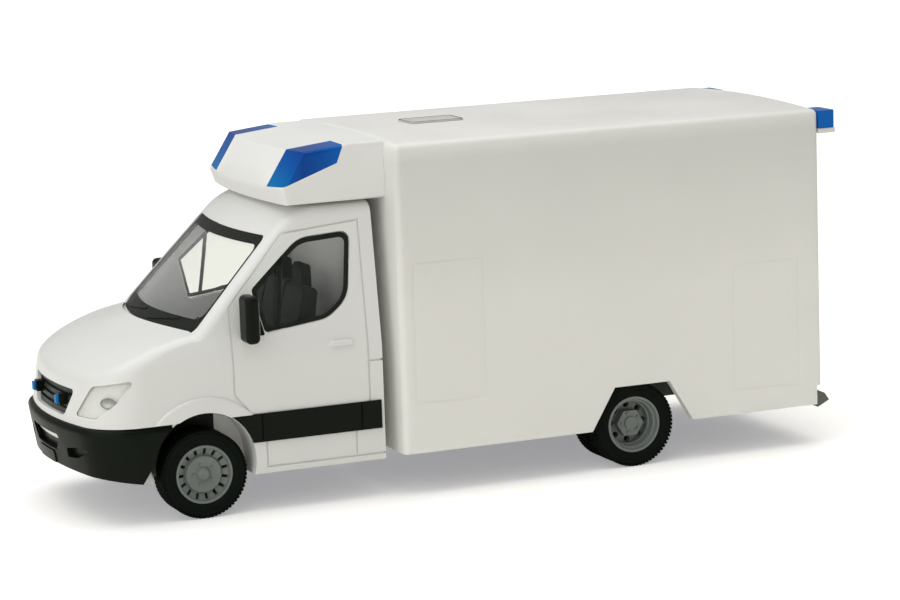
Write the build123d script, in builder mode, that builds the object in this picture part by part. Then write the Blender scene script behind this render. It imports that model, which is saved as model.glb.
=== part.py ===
from build123d import *
import math
import os

os.makedirs("parts", exist_ok=True)

# Driving dimensions in millimetres: +X is forward, +Y is the left side, +Z is up, the floor is z = 0

# Lengths along the vehicle, one after another from the front
front_overhang = 11.7
wheelbase = 42.1
cab_back = 17.2
box_gap = 1.35
box_length = 43.3
rear_beacon_depth = 1.75

# General fits
fit_gap = 0.05
cut_over = 2.0
groove_width = 0.18
groove_depth = 0.14

# Cab shell: heights from the floor, then from one level to the next
sill_z = 3.6
belt_z = 14.0
waist_z = 16.2
glass_height = 8.5
header_height = 3.2
cab_half_width = 11.45
cab_wall = 0.8
tumblehome = 2.05
tumblehome_over = 1.0
belt_radius = 6.0

# Bonnet and nose
bumper_top_z = 9.0
bumper_proud = 0.5
nose_bow = 2.1
nose_lean_deg = 9.1
nose_corner_radius = 4.5
bonnet_nose_rise = 3.5
bonnet_back = -1.5
bonnet_back_rise = 1.5
bonnet_bulge = 1.25
bonnet_axis_depth = 40.0
bonnet_edge_radius = 1.4
cowl_depth = 0.3
cowl_front = 2.65
cowl_radius = 20.0

# Windscreen and roof
screen_foot = 2.0
screen_foot_rise = 0.4
screen_rake_deg = 44.0
header_radius = 6.0
canopy_axis_depth = 14.0
canopy_edge_radius = 1.1
upward_lean = 0.3
canopy_root = 4.0
screen_top_pillar = 2.55
screen_low_pillar = 1.35
screen_low_rise = 0.35
glass_recess = 0.12
screen_radius = 0.7

# Side window: distances behind the front axle and rises above the waist
window_nose = 5.2
window_nose_rise = 4.0
window_foot = 6.2
window_bend = 12.3
window_bend_rise = 0.75
window_heel = 14.4
window_heel_rise = 2.4
window_brow = 10.0
window_brow_drop = 0.3
window_nose_radius = 0.5
window_bend_radius = 3.0
window_rear_radius = 0.9
window_pillar = 2.1

# Door shut lines, handle and rubbing band
door_front = 2.95
door_toe = 1.5
door_toe_rise = 1.9
door_nose_rise = 2.6
door_brow = 8.55
door_brow_drop = 0.6
door_frame = 0.8
door_pillar = 1.35
flap_rise = 3.7
sill_lip = 0.6
sill_seam_front = 5.8
sill_seam_rear = 2.8
handle_pillar = 3.9
handle_length = 2.2
handle_height = 0.55
handle_drop = 1.5
handle_proud = 0.16
band_bottom_z = 6.5
band_top_z = 9.1
band_proud = 0.25
band_seat = 0.3
band_radius = 0.12
band_seam_front = 5.35
band_seam_rear = 2.3

# Front wheel arches
arch_clearance = 0.75
arch_rise = 1.0
arch_depth = 3.5
arch_liner = 0.6
flare_width = 1.4
flare_proud = 0.3

# Bumper
bumper_bottom_z = 3.9
bumper_front_rise = 1.0
bumper_wall = 1.2
bumper_lean_deg = 9.0
bumper_back = 3.0
bumper_heel = 5.9
bumper_heel_rise = 1.7
bumper_edge_radius = 0.6
air_slot_depth = 0.5
plate_half_width = 2.2
plate_drop = 3.1
plate_height = 1.45
plate_proud = 0.12
# Air slot corners in the front view, on both sides of the middle: across, drop below the top, radius
air_slot_corners = [(-2.9, 2.85, 0.3), (2.9, 2.85, 0.3), (4.2, 1.3, 0.3), (-4.2, 1.3, 0.3)]
# Fog lamp hollow's corners on the left in the front view: across, drop below the top, radius
fog_corners = [(5.2, 3.15, 0.25), (7.2, 2.95, 0.6), (9.4, 2.05, 0.1), (7.3, 1.95, 0.5), (5.3, 2.3, 0.25)]

# Grille, flashers and headlamps
chin_height = 0.5
grille_height = 2.5
grille_top_half_width = 5.9
grille_bottom_half_width = 4.4
grille_recess = 0.35
grille_thickness = 0.9
grille_slat_count = 3
grille_slat_gap = 0.28
grille_slat_depth = 0.3
grille_frame = 0.35
flasher_y = 3.66
flasher_rise = 1.9
flasher_width = 0.85
flasher_height = 1.0
flasher_set_back = 0.15
flasher_lens_depth = 0.3
flasher_rim = 0.1
trim_radius = 0.3
grille_radius = 0.8
# Headlamp corners: sideways round the front corner, rise above the bumper, radius
lamp_corners = [
    (-3.05, 0.75, 0.3), (-0.05, 0.75, 0.6), (1.9, 2.15, 1.0), (3.7, 4.4, 0.3), (-0.7, 3.75, 1.2),
]

# Mirrors
mirror_back = 4.3
mirror_out = 1.05
mirror_rise = 1.7
mirror_depth = 1.3
mirror_width = 2.4
mirror_height = 4.3
mirror_radius = 0.5
mirror_arm = 0.9
mirror_arm_drop = 1.2

# Load box
box_side_step = 1.27
box_over_roof = 4.4
box_bottom_z = 3.95
box_crown = 0.4
box_wall = 0.9
box_edge_radius = 0.6
rear_notch_depth = 0.6
rear_notch_height = 1.85
rear_arch_height = 3.95
rear_arch_top_half_length = 2.85
rear_arch_foot_half_length = 5.25
rear_arch_set_back = 0.58
panel_line = 0.16
panel_line_depth = 0.1
locker_width = 7.05
locker_front_gap = 1.3
locker_rear_gap = 2.5
locker_handle_width = 0.8
locker_handle_height = 2.0
locker_handle_inset = 0.95
rear_door_gap = 3.3
rear_door_foot = 3.05
hatch_back = 6.15
hatch_length = 5.5
hatch_width = 3.5
hatch_height = 0.18
hatch_radius = 0.5

# Roof pod and beacons
pod_length = 10.6
pod_side_inset = 1.35
pod_bow_radius = 64.0
pod_drop = 0.6
pod_lip_rise = 1.4
pod_foot_back = 0.5
pod_shoulder_back = 2.1
pod_shoulder_drop = 0.3
pod_top_back = 6.8
pod_top_rise = 0.2
pod_corner_radius = 0.5
pod_edge_radius = 0.4
pod_roof_gap = 0.3
beacon_inner_y = 6.9
beacon_foot_back = 0.3
beacon_foot_rise = 0.05
beacon_heel_back = 6.1
beacon_heel_drop = 1.5
beacon_top_back = 7.6
rear_beacon_width = 3.1
rear_beacon_height = 1.7
rear_beacon_shelf = 0.45
rear_beacon_drop = 0.15
tail_lamp_width = 1.6
tail_lamp_height = 3.4
tail_lamp_rise = 5.0
tail_lamp_depth = 0.35

# Chassis
rail_y = 4.0
rail_width = 1.0
rail_bottom_z = 4.7
rail_height = 1.9
rail_slot_gap = 0.2
axle_block_length = 2.4
axle_block_gap = 1.2
floor_plate = 0.7
floor_side_gap = 0.4
bulkhead_gap = 1.4
load_floor_rise = 2.0
member_width = 1.2
member_spread = 5.0
member_end = 4.0
base_screw_back = 6.0
base_screw_radius = 0.85
base_screw_depth = 3.0
base_boss_wall = 0.95
base_boss_drop = 0.3

# Rear step
step_side_gap = 0.25
step_tread = 0.95
step_tread_fall = 0.45
step_reach = 1.45
step_nose_fall = 1.2
step_heel = 0.2
step_height = 1.8
step_drop = 0.4
step_rib_count = 3
step_rib_depth = 0.13

# Wheels
tyre_radius = 4.0
rim_radius = 2.7
tyre_width = 2.6
tyre_shoulder = 0.35
tyre_bulge = 0.12
tyre_wall_low = 0.3
tyre_wall_high = 0.7
twin_tyre_width = 2.3
twin_gap = 0.5
front_wheel_inset = 0.55
rear_wheel_inset = 0.72
axle_radius = 0.6
bearing_clearance = 0.06
axle_slot = 1.1
front_web_depth = 1.15
rear_web_depth = 2.4
rim_bead = 0.1
front_hole_count = 15
front_hole_length = 0.52
front_hole_width = 0.28
front_hole_ring = 2.07
rear_hole_count = 8
rear_hole_radius = 0.3
rear_hole_ring = 1.66
stud_count = 5
stud_radius = 0.13
stud_sides = 6
stud_height = 0.18
front_stud_ring = 0.95
rear_stud_ring = 0.95
hub_plate_radius = 1.35
hub_plate_sides = 6
# Front wheel's section: depth behind the tyre's face, radius
front_rim_section = [
    (0.1, 2.42), (0.42, 2.36), (0.6, 1.78), (0.28, 1.62), (0.4, 0.7), (0.2, 0.55), (0.08, 0.4),
]
# Rear wheel's section: depth behind the tyre's face, radius
rear_rim_section = [
    (0.1, 2.44), (0.5, 2.36), (0.55, 2.18), (1.2, 2.1), (1.25, 1.98), (1.8, 1.92), (1.8, 1.3),
]

# Cab fittings
seat_width = 4.6
seat_y = 4.95
seat_back = 9.6
seat_length = 5.0
seat_rise = 5.0
seat_rake = 1.8
seat_back_thickness = 1.4
seat_back_height = 7.0
headrest_width = 2.2
headrest_height = 2.6
headrest_thickness = 1.0
dash_x = 1.0
dash_depth = 3.2
dash_drop = 1.1
dash_lip = 1.2
dash_foot = 2.2
wheel_ring_radius = 2.1
wheel_ring_section = 0.28
wheel_hub_radius = 0.55
wheel_spoke = 0.3
wheel_back = 4.6
wheel_column = 2.2
wheel_tilt_deg = 48.0

# Places worked out from the driving dimensions
overall_length = front_overhang + cab_back + box_gap + box_length + rear_beacon_depth
nose_x = overall_length / 2
front_axle_x = nose_x - front_overhang
rear_axle_x = front_axle_x - wheelbase
cab_nose_x = nose_x - bumper_proud
cab_rear_x = front_axle_x - cab_back
box_front_x = cab_rear_x - box_gap
box_rear_x = box_front_x - box_length
roof_z = waist_z + glass_height + header_height
box_half_width = cab_half_width + box_side_step
box_eaves_z = roof_z + box_over_roof
pod_half_width = cab_half_width - pod_side_inset
axle_z = tyre_radius
front_face_y = cab_half_width - front_wheel_inset
rear_face_y = box_half_width - rear_wheel_inset
inner_face_y = rear_face_y - twin_tyre_width - twin_gap
arch_radius = tyre_radius + arch_clearance
arch_z = axle_z + arch_rise
rail_top_z = rail_bottom_z + rail_height
cab_floor_z = rail_top_z + floor_plate
load_floor_z = rail_top_z + load_floor_rise
base_boss_z = rail_bottom_z - base_boss_drop
base_screw_x = box_front_x - base_screw_back
rear_notch_z = box_bottom_z + rear_notch_height
nose_radius = (cab_half_width**2 + nose_bow**2) / (2 * nose_bow)
nose_pivot_x = cab_nose_x - nose_radius
cab_reach = front_overhang + cab_back + cut_over
# The bumper's rounded lip is the foremost point, so its sharp edge would lie a little ahead of the nose
bumper_lean = math.radians(bumper_lean_deg)
bumper_lip_x = nose_x + bumper_edge_radius * (math.tan(bumper_lean) + 1 / math.cos(bumper_lean) - 1)


def behind_axle(back, z):
    """A point of the cab's side view, given behind the front axle."""
    return (front_axle_x - back, z)


def write(piece, name):
    """Write one piece under its own name."""
    piece.label = name
    export_step(piece, "parts/" + name + ".step")


def write_pair(left, name):
    """Write a left piece and its mirror image on the right."""
    write(left, name + "_left")
    write(left.mirror(Plane.XZ), name + "_right")


def with_mirror(piece):
    """A left piece and its mirror image."""
    return [piece, piece.mirror(Plane.XZ)]


def bowed_block(pivot_x, face_x, face_z, lean_deg, bottom_z, top_z, half_width, corner_radius):
    """A block with a bowed, leaning front face and round front corners, reaching back to the cab's rear."""
    slope = math.tan(math.radians(lean_deg))
    low_x = face_x + slope * (face_z - bottom_z)
    high_x = face_x + slope * (face_z - top_z)
    with BuildPart() as block:
        with BuildSketch(Plane.XZ):
            with BuildLine():
                Polyline(
                    (pivot_x, bottom_z), (low_x, bottom_z), (high_x, top_z), (pivot_x, top_z), close=True,
                )
            make_face()
        revolve(axis=Axis((pivot_x, 0, 0), (0, 0, 1)))
        with BuildSketch(Plane.XY.offset(bottom_z)):
            with Locations((cab_rear_x, 0)):
                Rectangle(2 * cab_reach, 2 * half_width, align=(Align.MIN, Align.CENTER))
        extrude(amount=top_z - bottom_z, mode=Mode.INTERSECT)
        flanks = [block.faces().sort_by(Axis.Y)[0], block.faces().sort_by(Axis.Y)[-1]]
        fillet([flank.edges().sort_by(Axis.X)[-1] for flank in flanks], radius=corner_radius)
    return block.part


def front_view(inset, bottom_z):
    """The cab's front view, upright below the belt line and leaning in above it, run along the cab."""
    top_half_width = cab_half_width - tumblehome
    view_top_z = roof_z + tumblehome_over
    with BuildPart() as prism:
        with BuildSketch(Plane.YZ.offset(cab_rear_x + inset)):
            with BuildLine():
                Polyline(
                    (-cab_half_width, bottom_z - cut_over), (cab_half_width, bottom_z - cut_over),
                    (cab_half_width, belt_z), (top_half_width, view_top_z), (-top_half_width, view_top_z),
                    (-cab_half_width, belt_z), close=True,
                )
            make_face()
            fillet(vertices().group_by(Axis.Y)[1], radius=belt_radius)
            if inset:
                offset(amount=-inset, kind=Kind.INTERSECTION)
        extrude(amount=cab_reach)
    return prism.part


def bonnet_form(inset, bottom_z):
    """The cab up to its waist: bowed nose, and a bonnet swung about a low axis to crown it."""
    back_x = front_axle_x + bonnet_back + inset
    back_z = waist_z + bonnet_back_rise - 2 * inset
    nose_z = bumper_top_z + bonnet_nose_rise - inset
    with BuildPart() as form:
        add(bowed_block(
            nose_pivot_x, cab_nose_x - inset, bumper_top_z, nose_lean_deg, bottom_z, back_z + cut_over,
            cab_half_width - inset, nose_corner_radius - inset,
        ))
        with BuildSketch(Plane.XZ):
            with BuildLine():
                arc = SagittaArc((cab_nose_x, nose_z), (back_x, back_z), -bonnet_bulge)
                Polyline(
                    arc @ 1, (back_x - cowl_depth, waist_z - inset), (cab_rear_x + inset, waist_z - inset),
                    (cab_rear_x + inset, bottom_z - cut_over), (nose_x + cut_over, bottom_z - cut_over),
                    (nose_x + cut_over, nose_z), arc @ 0,
                )
            make_face()
        revolve(axis=Axis((0, 0, -bonnet_axis_depth), (1, 0, 0)), mode=Mode.INTERSECT)
        if not inset:
            lid = form.faces().filter_by(lambda f: f.center().X > back_x and f.center().Z > bumper_top_z)
            lid_edges = lid.sort_by(Axis.Z)[-1].edges()
            fillet(lid_edges.filter_by(lambda e: e.center().X > back_x + fit_gap), radius=bonnet_edge_radius)
        # The lid ends in a bowed rear edge, ahead of the windscreen's foot
        with BuildSketch(Plane.XY.offset(waist_z - inset)):
            with Locations((front_axle_x + cowl_front - cowl_radius, 0)):
                Circle(cowl_radius + inset)
        extrude(amount=cut_over + bonnet_back_rise, mode=Mode.SUBTRACT)
    return form.part


def canopy_form(inset):
    """The cab above its waist: windscreen, header and roof swung about a low axis to bow them."""
    root_z = waist_z - canopy_root
    foot_z = waist_z + screen_foot_rise
    slope = math.tan(math.radians(screen_rake_deg))
    foot_x = front_axle_x + screen_foot
    with BuildPart() as form:
        with BuildSketch(Plane.XZ):
            with BuildLine():
                Polyline(
                    (cab_rear_x, root_z), (foot_x + (foot_z - root_z) / slope, root_z),
                    (foot_x - (roof_z - foot_z) / slope, roof_z), (cab_rear_x, roof_z), close=True,
                )
            make_face()
            fillet(vertices().group_by(Axis.Y)[-1].sort_by(Axis.X)[-1], radius=header_radius)
            if inset:
                offset(amount=-inset, kind=Kind.INTERSECTION)
        revolve(axis=Axis((0, 0, -canopy_axis_depth), (1, 0, 0)))
        add(front_view(inset, root_z), mode=Mode.INTERSECT)
        if not inset:
            upper = form.faces().filter_by(lambda f: f.normal_at(f.center()).Z > upward_lean)
            rims = upper.edges().filter_by(GeomType.CIRCLE, reverse=True)
            fillet(rims, radius=canopy_edge_radius)
    return form.part


def cab_form(inset, bottom_z):
    """The cab's closed form, or the same form lying inset below its outside."""
    with BuildPart() as form:
        add(bonnet_form(inset, bottom_z))
        add(canopy_form(inset))
        add(front_view(inset, bottom_z), mode=Mode.INTERSECT)
    return form.part


cab_outside = cab_form(0, sill_z)
cab_hollow = cab_form(cab_wall, sill_z - cut_over)
cab_skin = cab_outside - cab_form(groove_depth, sill_z - cut_over)


def outline_prism(corners, plane, depth, shrink):
    """An outline given by its corners and their radii, run straight through from the plane."""
    with BuildPart() as prism:
        with BuildSketch(plane):
            with BuildLine():
                Polyline(*[(across, high) for across, high, radius in corners], close=True)
            make_face()
            for across, high, radius in corners:
                fillet(vertices().sort_by_distance((across, high))[0], radius=radius)
            if shrink:
                offset(amount=-shrink, kind=Kind.INTERSECTION)
        extrude(amount=depth)
    return prism.part


def disc(x, z, radius, near_y, far_y):
    """A disc lying across the vehicle, from near_y to far_y on the left side."""
    with BuildPart() as solid:
        with BuildSketch(Plane.XZ.offset(-near_y)):
            with Locations((x, z)):
                Circle(radius)
        extrude(amount=near_y - far_y)
    return solid.part


def rail_slot(wall_x, wall):
    """The gap that lets the chassis rails through a wall from below."""
    with BuildPart() as slot:
        with BuildSketch(Plane.XY):
            with Locations((wall_x, 0)):
                Rectangle(4 * wall, 2 * rail_y + rail_width + 2 * rail_slot_gap)
        extrude(amount=rail_top_z + rail_slot_gap)
    return slot.part


# Side window and windscreen outlines
glass_top_z = waist_z + glass_height
side_window_corners = [
    (*behind_axle(window_nose, waist_z + window_nose_rise), window_nose_radius),
    (*behind_axle(window_foot, waist_z), window_nose_radius),
    (*behind_axle(window_bend, waist_z + window_bend_rise), window_bend_radius),
    (*behind_axle(window_heel, waist_z + window_heel_rise), window_bend_radius),
    (*behind_axle(cab_back - window_pillar, glass_top_z), window_rear_radius),
    (*behind_axle(window_brow, glass_top_z - window_brow_drop), window_bend_radius),
]
screen_low_z = waist_z + screen_low_rise
screen_low_half_width = cab_half_width - screen_low_pillar
screen_top_half_width = cab_half_width - screen_top_pillar
screen_corners = [
    (-screen_low_half_width, screen_low_z, screen_radius),
    (screen_low_half_width, screen_low_z, screen_radius),
    (screen_top_half_width, glass_top_z, screen_radius),
    (-screen_top_half_width, glass_top_z, screen_radius),
]
side_plane = Plane.XZ.offset(-beacon_inner_y)
side_reach = -cab_half_width
screen_plane = Plane.YZ.offset(front_axle_x - window_brow)
screen_reach = front_overhang + window_brow
pane_layer = canopy_form(glass_recess) - canopy_form(cab_wall - glass_recess)
side_cut = outline_prism(side_window_corners, side_plane, side_reach, 0)
side_pane = outline_prism(side_window_corners, side_plane, side_reach, fit_gap)
screen_cut = outline_prism(screen_corners, screen_plane, screen_reach, 0) & canopy_form(0)
screen_pane = outline_prism(screen_corners, screen_plane, screen_reach, fit_gap)

# Grille outline in the front view, headlamp outline facing the front corner
grille_bottom_z = bumper_top_z + chin_height
grille_top_z = grille_bottom_z + grille_height
grille_corners = [
    (-grille_bottom_half_width, grille_bottom_z, grille_radius),
    (grille_bottom_half_width, grille_bottom_z, grille_radius),
    (grille_top_half_width, grille_top_z, trim_radius), (-grille_top_half_width, grille_top_z, trim_radius),
]
grille_plane = Plane.YZ.offset(front_axle_x + bumper_heel)
grille_cut = outline_prism(grille_corners, grille_plane, front_overhang, 0)
grille_fill = outline_prism(grille_corners, grille_plane, front_overhang, fit_gap)
grille_core = outline_prism(grille_corners, grille_plane, front_overhang, grille_frame)
lamp_outline = [(side, bumper_top_z + rise, radius) for side, rise, radius in lamp_corners]
lamp_plane = Plane(origin=(cab_nose_x, cab_half_width, 0), x_dir=(-1, 1, 0), z_dir=(1, 1, 0))
lamp_plane = lamp_plane.offset(-nose_corner_radius - bumper_wall)
lamp_cut = outline_prism(lamp_outline, lamp_plane, front_overhang, 0)
lamp_fill = outline_prism(lamp_outline, lamp_plane, front_overhang, fit_gap)

# Wheel housing behind the arch, and the arch itself
housing_y = cab_half_width - arch_depth
wheel_housing = disc(front_axle_x, arch_z, arch_radius + arch_liner, housing_y - arch_liner, cab_half_width)
wheel_housing = wheel_housing & cab_outside
arch_cut = disc(front_axle_x, arch_z, arch_radius, housing_y, cab_half_width + cut_over)

# Lip round the arch, ending on the bumper and on the side band
with BuildPart() as arch_lip:
    with BuildSketch(Plane.XZ.offset(-(cab_half_width - cab_wall))):
        with Locations((front_axle_x, arch_z)):
            Circle(arch_radius + flare_width)
        with Locations((front_axle_x, 0)):
            Rectangle(4 * arch_radius, 2 * band_top_z, mode=Mode.SUBTRACT)
    extrude(amount=-(cab_wall + flare_proud))
    lip_edges = arch_lip.edges().group_by(Axis.Y)[-1].filter_by(GeomType.CIRCLE)
    fillet(lip_edges, radius=0.9 * flare_proud)

# Shut lines of the door, flap and sill, drawn in the side view
door_rear = cab_back - door_pillar
door_top_z = glass_top_z + door_frame
with BuildPart() as shut_lines:
    with BuildSketch(side_plane):
        with BuildLine():
            Polyline(
                behind_axle(door_front + door_toe, band_top_z),
                behind_axle(door_front, band_top_z + door_toe_rise),
                behind_axle(door_front, waist_z + door_nose_rise),
                behind_axle(door_brow, door_top_z - door_brow_drop),
                behind_axle(door_rear, door_top_z), behind_axle(door_rear, band_top_z),
            )
        trace(line_width=groove_width)
        flap_z = band_top_z + flap_rise
        with BuildLine():
            Line(behind_axle(door_rear, flap_z), behind_axle(cab_back, flap_z))
        trace(line_width=groove_width)
        for seam in (sill_seam_front, cab_back - sill_seam_rear):
            with BuildLine():
                Line(behind_axle(seam, sill_z + sill_lip), behind_axle(seam, band_bottom_z))
            trace(line_width=groove_width)
        with BuildLine():
            Line(behind_axle(sill_seam_front, sill_z + sill_lip), behind_axle(cab_back, sill_z + sill_lip))
        trace(line_width=groove_width)
    extrude(amount=side_reach)
shut_grooves = shut_lines.part & cab_skin

# Door handle bar
with BuildPart() as door_handle:
    with Locations((front_axle_x - cab_back + handle_pillar, cab_half_width, waist_z - handle_drop)):
        Box(handle_length, 2 * handle_proud, handle_height)
    fillet(door_handle.edges().filter_by(Axis.Y), radius=0.4 * handle_height)
    chamfer(door_handle.faces().sort_by(Axis.Y)[-1].edges(), length=0.4 * handle_proud)

# Black rubbing band along the door, let into the shell and scored at its joints
band_rear_x = cab_rear_x + band_seat
with BuildPart() as side_band:
    with BuildSketch(Plane.XZ.offset(-(cab_half_width - band_seat))):
        with Locations((band_rear_x, band_bottom_z)):
            Rectangle(front_axle_x - band_rear_x, band_top_z - band_bottom_z, align=Align.MIN)
        with Locations((front_axle_x, arch_z)):
            Circle(arch_radius + fit_gap, mode=Mode.SUBTRACT)
    extrude(amount=-(band_seat + band_proud))
    fillet(side_band.edges().group_by(Axis.Y)[-1], radius=band_radius)
    with BuildSketch(Plane.XZ.offset(-(cab_half_width + band_proud))):
        for seam in (band_seam_front, cab_back - band_seam_rear):
            with Locations(behind_axle(seam, 0.5 * (band_bottom_z + band_top_z))):
                Rectangle(groove_width, band_top_z - band_bottom_z + cut_over)
    extrude(amount=groove_depth, both=True, mode=Mode.SUBTRACT)
write_pair(side_band.part, "side_band")
with BuildPart() as band_seating:
    with BuildSketch(Plane.XZ.offset(-(cab_half_width - band_seat))):
        with Locations((band_rear_x, band_bottom_z)):
            Rectangle(front_axle_x - band_rear_x, band_top_z - band_bottom_z, align=Align.MIN)
    extrude(amount=-(band_seat + band_proud))

# Cab shell: hollow, open below, with wheel housings, window openings and shut lines
with BuildPart() as cab_shell:
    add(cab_outside)
    add(with_mirror(door_handle.part))
    add(cab_hollow, mode=Mode.SUBTRACT)
    add(with_mirror(wheel_housing))
    add(with_mirror(arch_lip.part))
    add(with_mirror(arch_cut), mode=Mode.SUBTRACT)
    add(with_mirror(side_cut), mode=Mode.SUBTRACT)
    add(with_mirror(lamp_cut), mode=Mode.SUBTRACT)
    add(with_mirror(shut_grooves), mode=Mode.SUBTRACT)
    add(with_mirror(band_seating.part), mode=Mode.SUBTRACT)
    add(screen_cut, mode=Mode.SUBTRACT)
    add(grille_cut, mode=Mode.SUBTRACT)
    add(rail_slot(cab_rear_x, cab_wall), mode=Mode.SUBTRACT)
    # Slots let the axle up into the wheel housings
    with BuildSketch(Plane.XY):
        with Locations((front_axle_x, 0)):
            Rectangle(2 * axle_slot, 4 * cab_half_width)
    extrude(amount=axle_z + axle_slot, mode=Mode.SUBTRACT)
    # The nose and the front of each arch end on the top of the bumper
    bumper_inside_y = cab_half_width - bumper_wall - fit_gap
    with BuildSketch(Plane.XY.offset(bumper_top_z)):
        with Locations((front_axle_x + arch_radius + arch_liner, 0)):
            Rectangle(2 * front_overhang, 4 * cab_half_width, align=(Align.MIN, Align.CENTER))
        with Locations((front_axle_x + bumper_back - fit_gap, bumper_inside_y)):
            Rectangle(2 * front_overhang, 2 * bumper_wall, align=Align.MIN)
        with Locations((front_axle_x + bumper_back - fit_gap, -bumper_inside_y)):
            Rectangle(2 * front_overhang, 2 * bumper_wall, align=(Align.MIN, Align.MAX))
    extrude(amount=-bumper_top_z, mode=Mode.SUBTRACT)
write(cab_shell.part, "cab_shell")

# Glazing, set a little below the outside of the shell
write(screen_pane & pane_layer, "windscreen")
write_pair(side_pane & pane_layer, "side_window")

# Grille: a bowed plate with a frame round cross slats
grille_face = cab_form(grille_recess, sill_z)
slat_layer = grille_face - cab_form(grille_recess + grille_slat_depth, sill_z - cut_over)
with BuildPart() as slat_gaps:
    for place in range(1, grille_slat_count + 1):
        with Locations((cab_nose_x, 0, grille_bottom_z + place * grille_height / (grille_slat_count + 1))):
            Box(2 * front_overhang, 4 * grille_top_half_width, grille_slat_gap)
with BuildPart() as grille:
    add(grille_fill & grille_face)
    add(cab_form(grille_recess + grille_thickness, sill_z - cut_over), mode=Mode.SUBTRACT)
    add(slat_gaps.part & grille_core & slat_layer, mode=Mode.SUBTRACT)
write(grille.part, "grille")

# Blue flashers on black blocks in front of the grille
flasher_place = (flasher_y, bumper_top_z + flasher_rise)
flasher_x = cab_nose_x - flasher_set_back
with BuildPart() as flasher_block:
    with BuildSketch(Plane.YZ.offset(flasher_x)):
        with Locations(flasher_place):
            Rectangle(flasher_width, flasher_height)
    extrude(amount=-2 * grille_thickness)
    add(grille_face, mode=Mode.SUBTRACT)
write_pair(flasher_block.part, "flasher_block")
with BuildPart() as flasher_lens:
    with BuildSketch(Plane.YZ.offset(flasher_x)):
        with Locations(flasher_place):
            RectangleRounded(flasher_width - 2 * flasher_rim, flasher_height - 2 * flasher_rim, flasher_rim)
    extrude(amount=flasher_lens_depth)
write_pair(flasher_lens.part, "flasher_lens")

# Headlamp lenses wrap round the front corners
write_pair(lamp_fill & (cab_outside - cab_hollow), "headlamp")


def bumper_form(inset, bottom_z, top_z):
    """The bumper's outside, or the same form lying inset below it."""
    return bowed_block(
        bumper_lip_x - nose_radius, bumper_lip_x - inset, bumper_top_z, -bumper_lean_deg, bottom_z, top_z,
        cab_half_width - inset, nose_corner_radius - inset,
    )


# Bumper: a bowed band round the nose, its chin rising to the front, ending along the arches
bumper_recess = bumper_form(-cut_over, 0, bumper_top_z) - bumper_form(air_slot_depth, 0, bumper_top_z)
bumper_plane = Plane.YZ.offset(front_axle_x + bumper_heel)
air_slot_outline = [(across, bumper_top_z - drop, radius) for across, drop, radius in air_slot_corners]
fog_outline = [(across, bumper_top_z - drop, radius) for across, drop, radius in fog_corners]
air_slot = outline_prism(air_slot_outline, bumper_plane, front_overhang, 0)
fog_hollow = outline_prism(fog_outline, bumper_plane, front_overhang, 0)
# Blank panel for the number plate, standing a little proud under the air slot
plate_outline = [
    (-plate_half_width, bumper_top_z - plate_drop - plate_height, trim_radius),
    (plate_half_width, bumper_top_z - plate_drop - plate_height, trim_radius),
    (plate_half_width, bumper_top_z - plate_drop, trim_radius),
    (-plate_half_width, bumper_top_z - plate_drop, trim_radius),
]
plate_panel = outline_prism(plate_outline, bumper_plane, front_overhang, 0)
plate_panel = plate_panel & bumper_form(-plate_proud, bumper_bottom_z, bumper_top_z)
with BuildPart() as front_bumper:
    add(bumper_form(0, bumper_bottom_z, bumper_top_z))
    fillet(front_bumper.faces().sort_by(Axis.Z)[-1].edges().sort_by(Axis.X)[1:], radius=bumper_edge_radius)
    add(plate_panel)
    add(bumper_form(bumper_wall, 0, bumper_top_z + cut_over), mode=Mode.SUBTRACT)
    add(with_mirror(arch_cut), mode=Mode.SUBTRACT)
    add(air_slot & bumper_recess, mode=Mode.SUBTRACT)
    add(with_mirror(fog_hollow & bumper_recess), mode=Mode.SUBTRACT)
    with BuildSketch(Plane.XZ):
        with BuildLine():
            Polyline(
                (cab_rear_x - cut_over, 0), (nose_x + cut_over, 0),
                (nose_x + cut_over, bumper_bottom_z + bumper_front_rise),
                (nose_x, bumper_bottom_z + bumper_front_rise), (front_axle_x + bumper_heel, bumper_bottom_z),
                (front_axle_x + arch_radius, bumper_bottom_z + bumper_heel_rise),
                (front_axle_x + bumper_back, bumper_bottom_z + bumper_heel_rise),
                (front_axle_x + bumper_back, bumper_top_z + cut_over),
                (cab_rear_x - cut_over, bumper_top_z + cut_over),
                close=True,
            )
        make_face()
    extrude(amount=2 * cab_half_width, both=True, mode=Mode.SUBTRACT)
write(front_bumper.part, "front_bumper")

# Door mirrors on short arms
mirror_x = front_axle_x - mirror_back
mirror_y = cab_half_width + mirror_out
mirror_z = waist_z + mirror_rise
with BuildPart() as door_mirror:
    with Locations((mirror_x, mirror_y, mirror_z)):
        Box(mirror_depth, mirror_width, mirror_height)
    fillet(door_mirror.edges(), radius=mirror_radius)
    with BuildSketch(Plane.XZ.offset(-mirror_y)):
        with Locations((mirror_x, mirror_z - mirror_arm_drop)):
            Circle(0.5 * mirror_arm)
    extrude(amount=mirror_y - cab_half_width + 2 * cab_wall)
    add(cab_outside, mode=Mode.SUBTRACT)
write_pair(door_mirror.part, "mirror")

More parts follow.
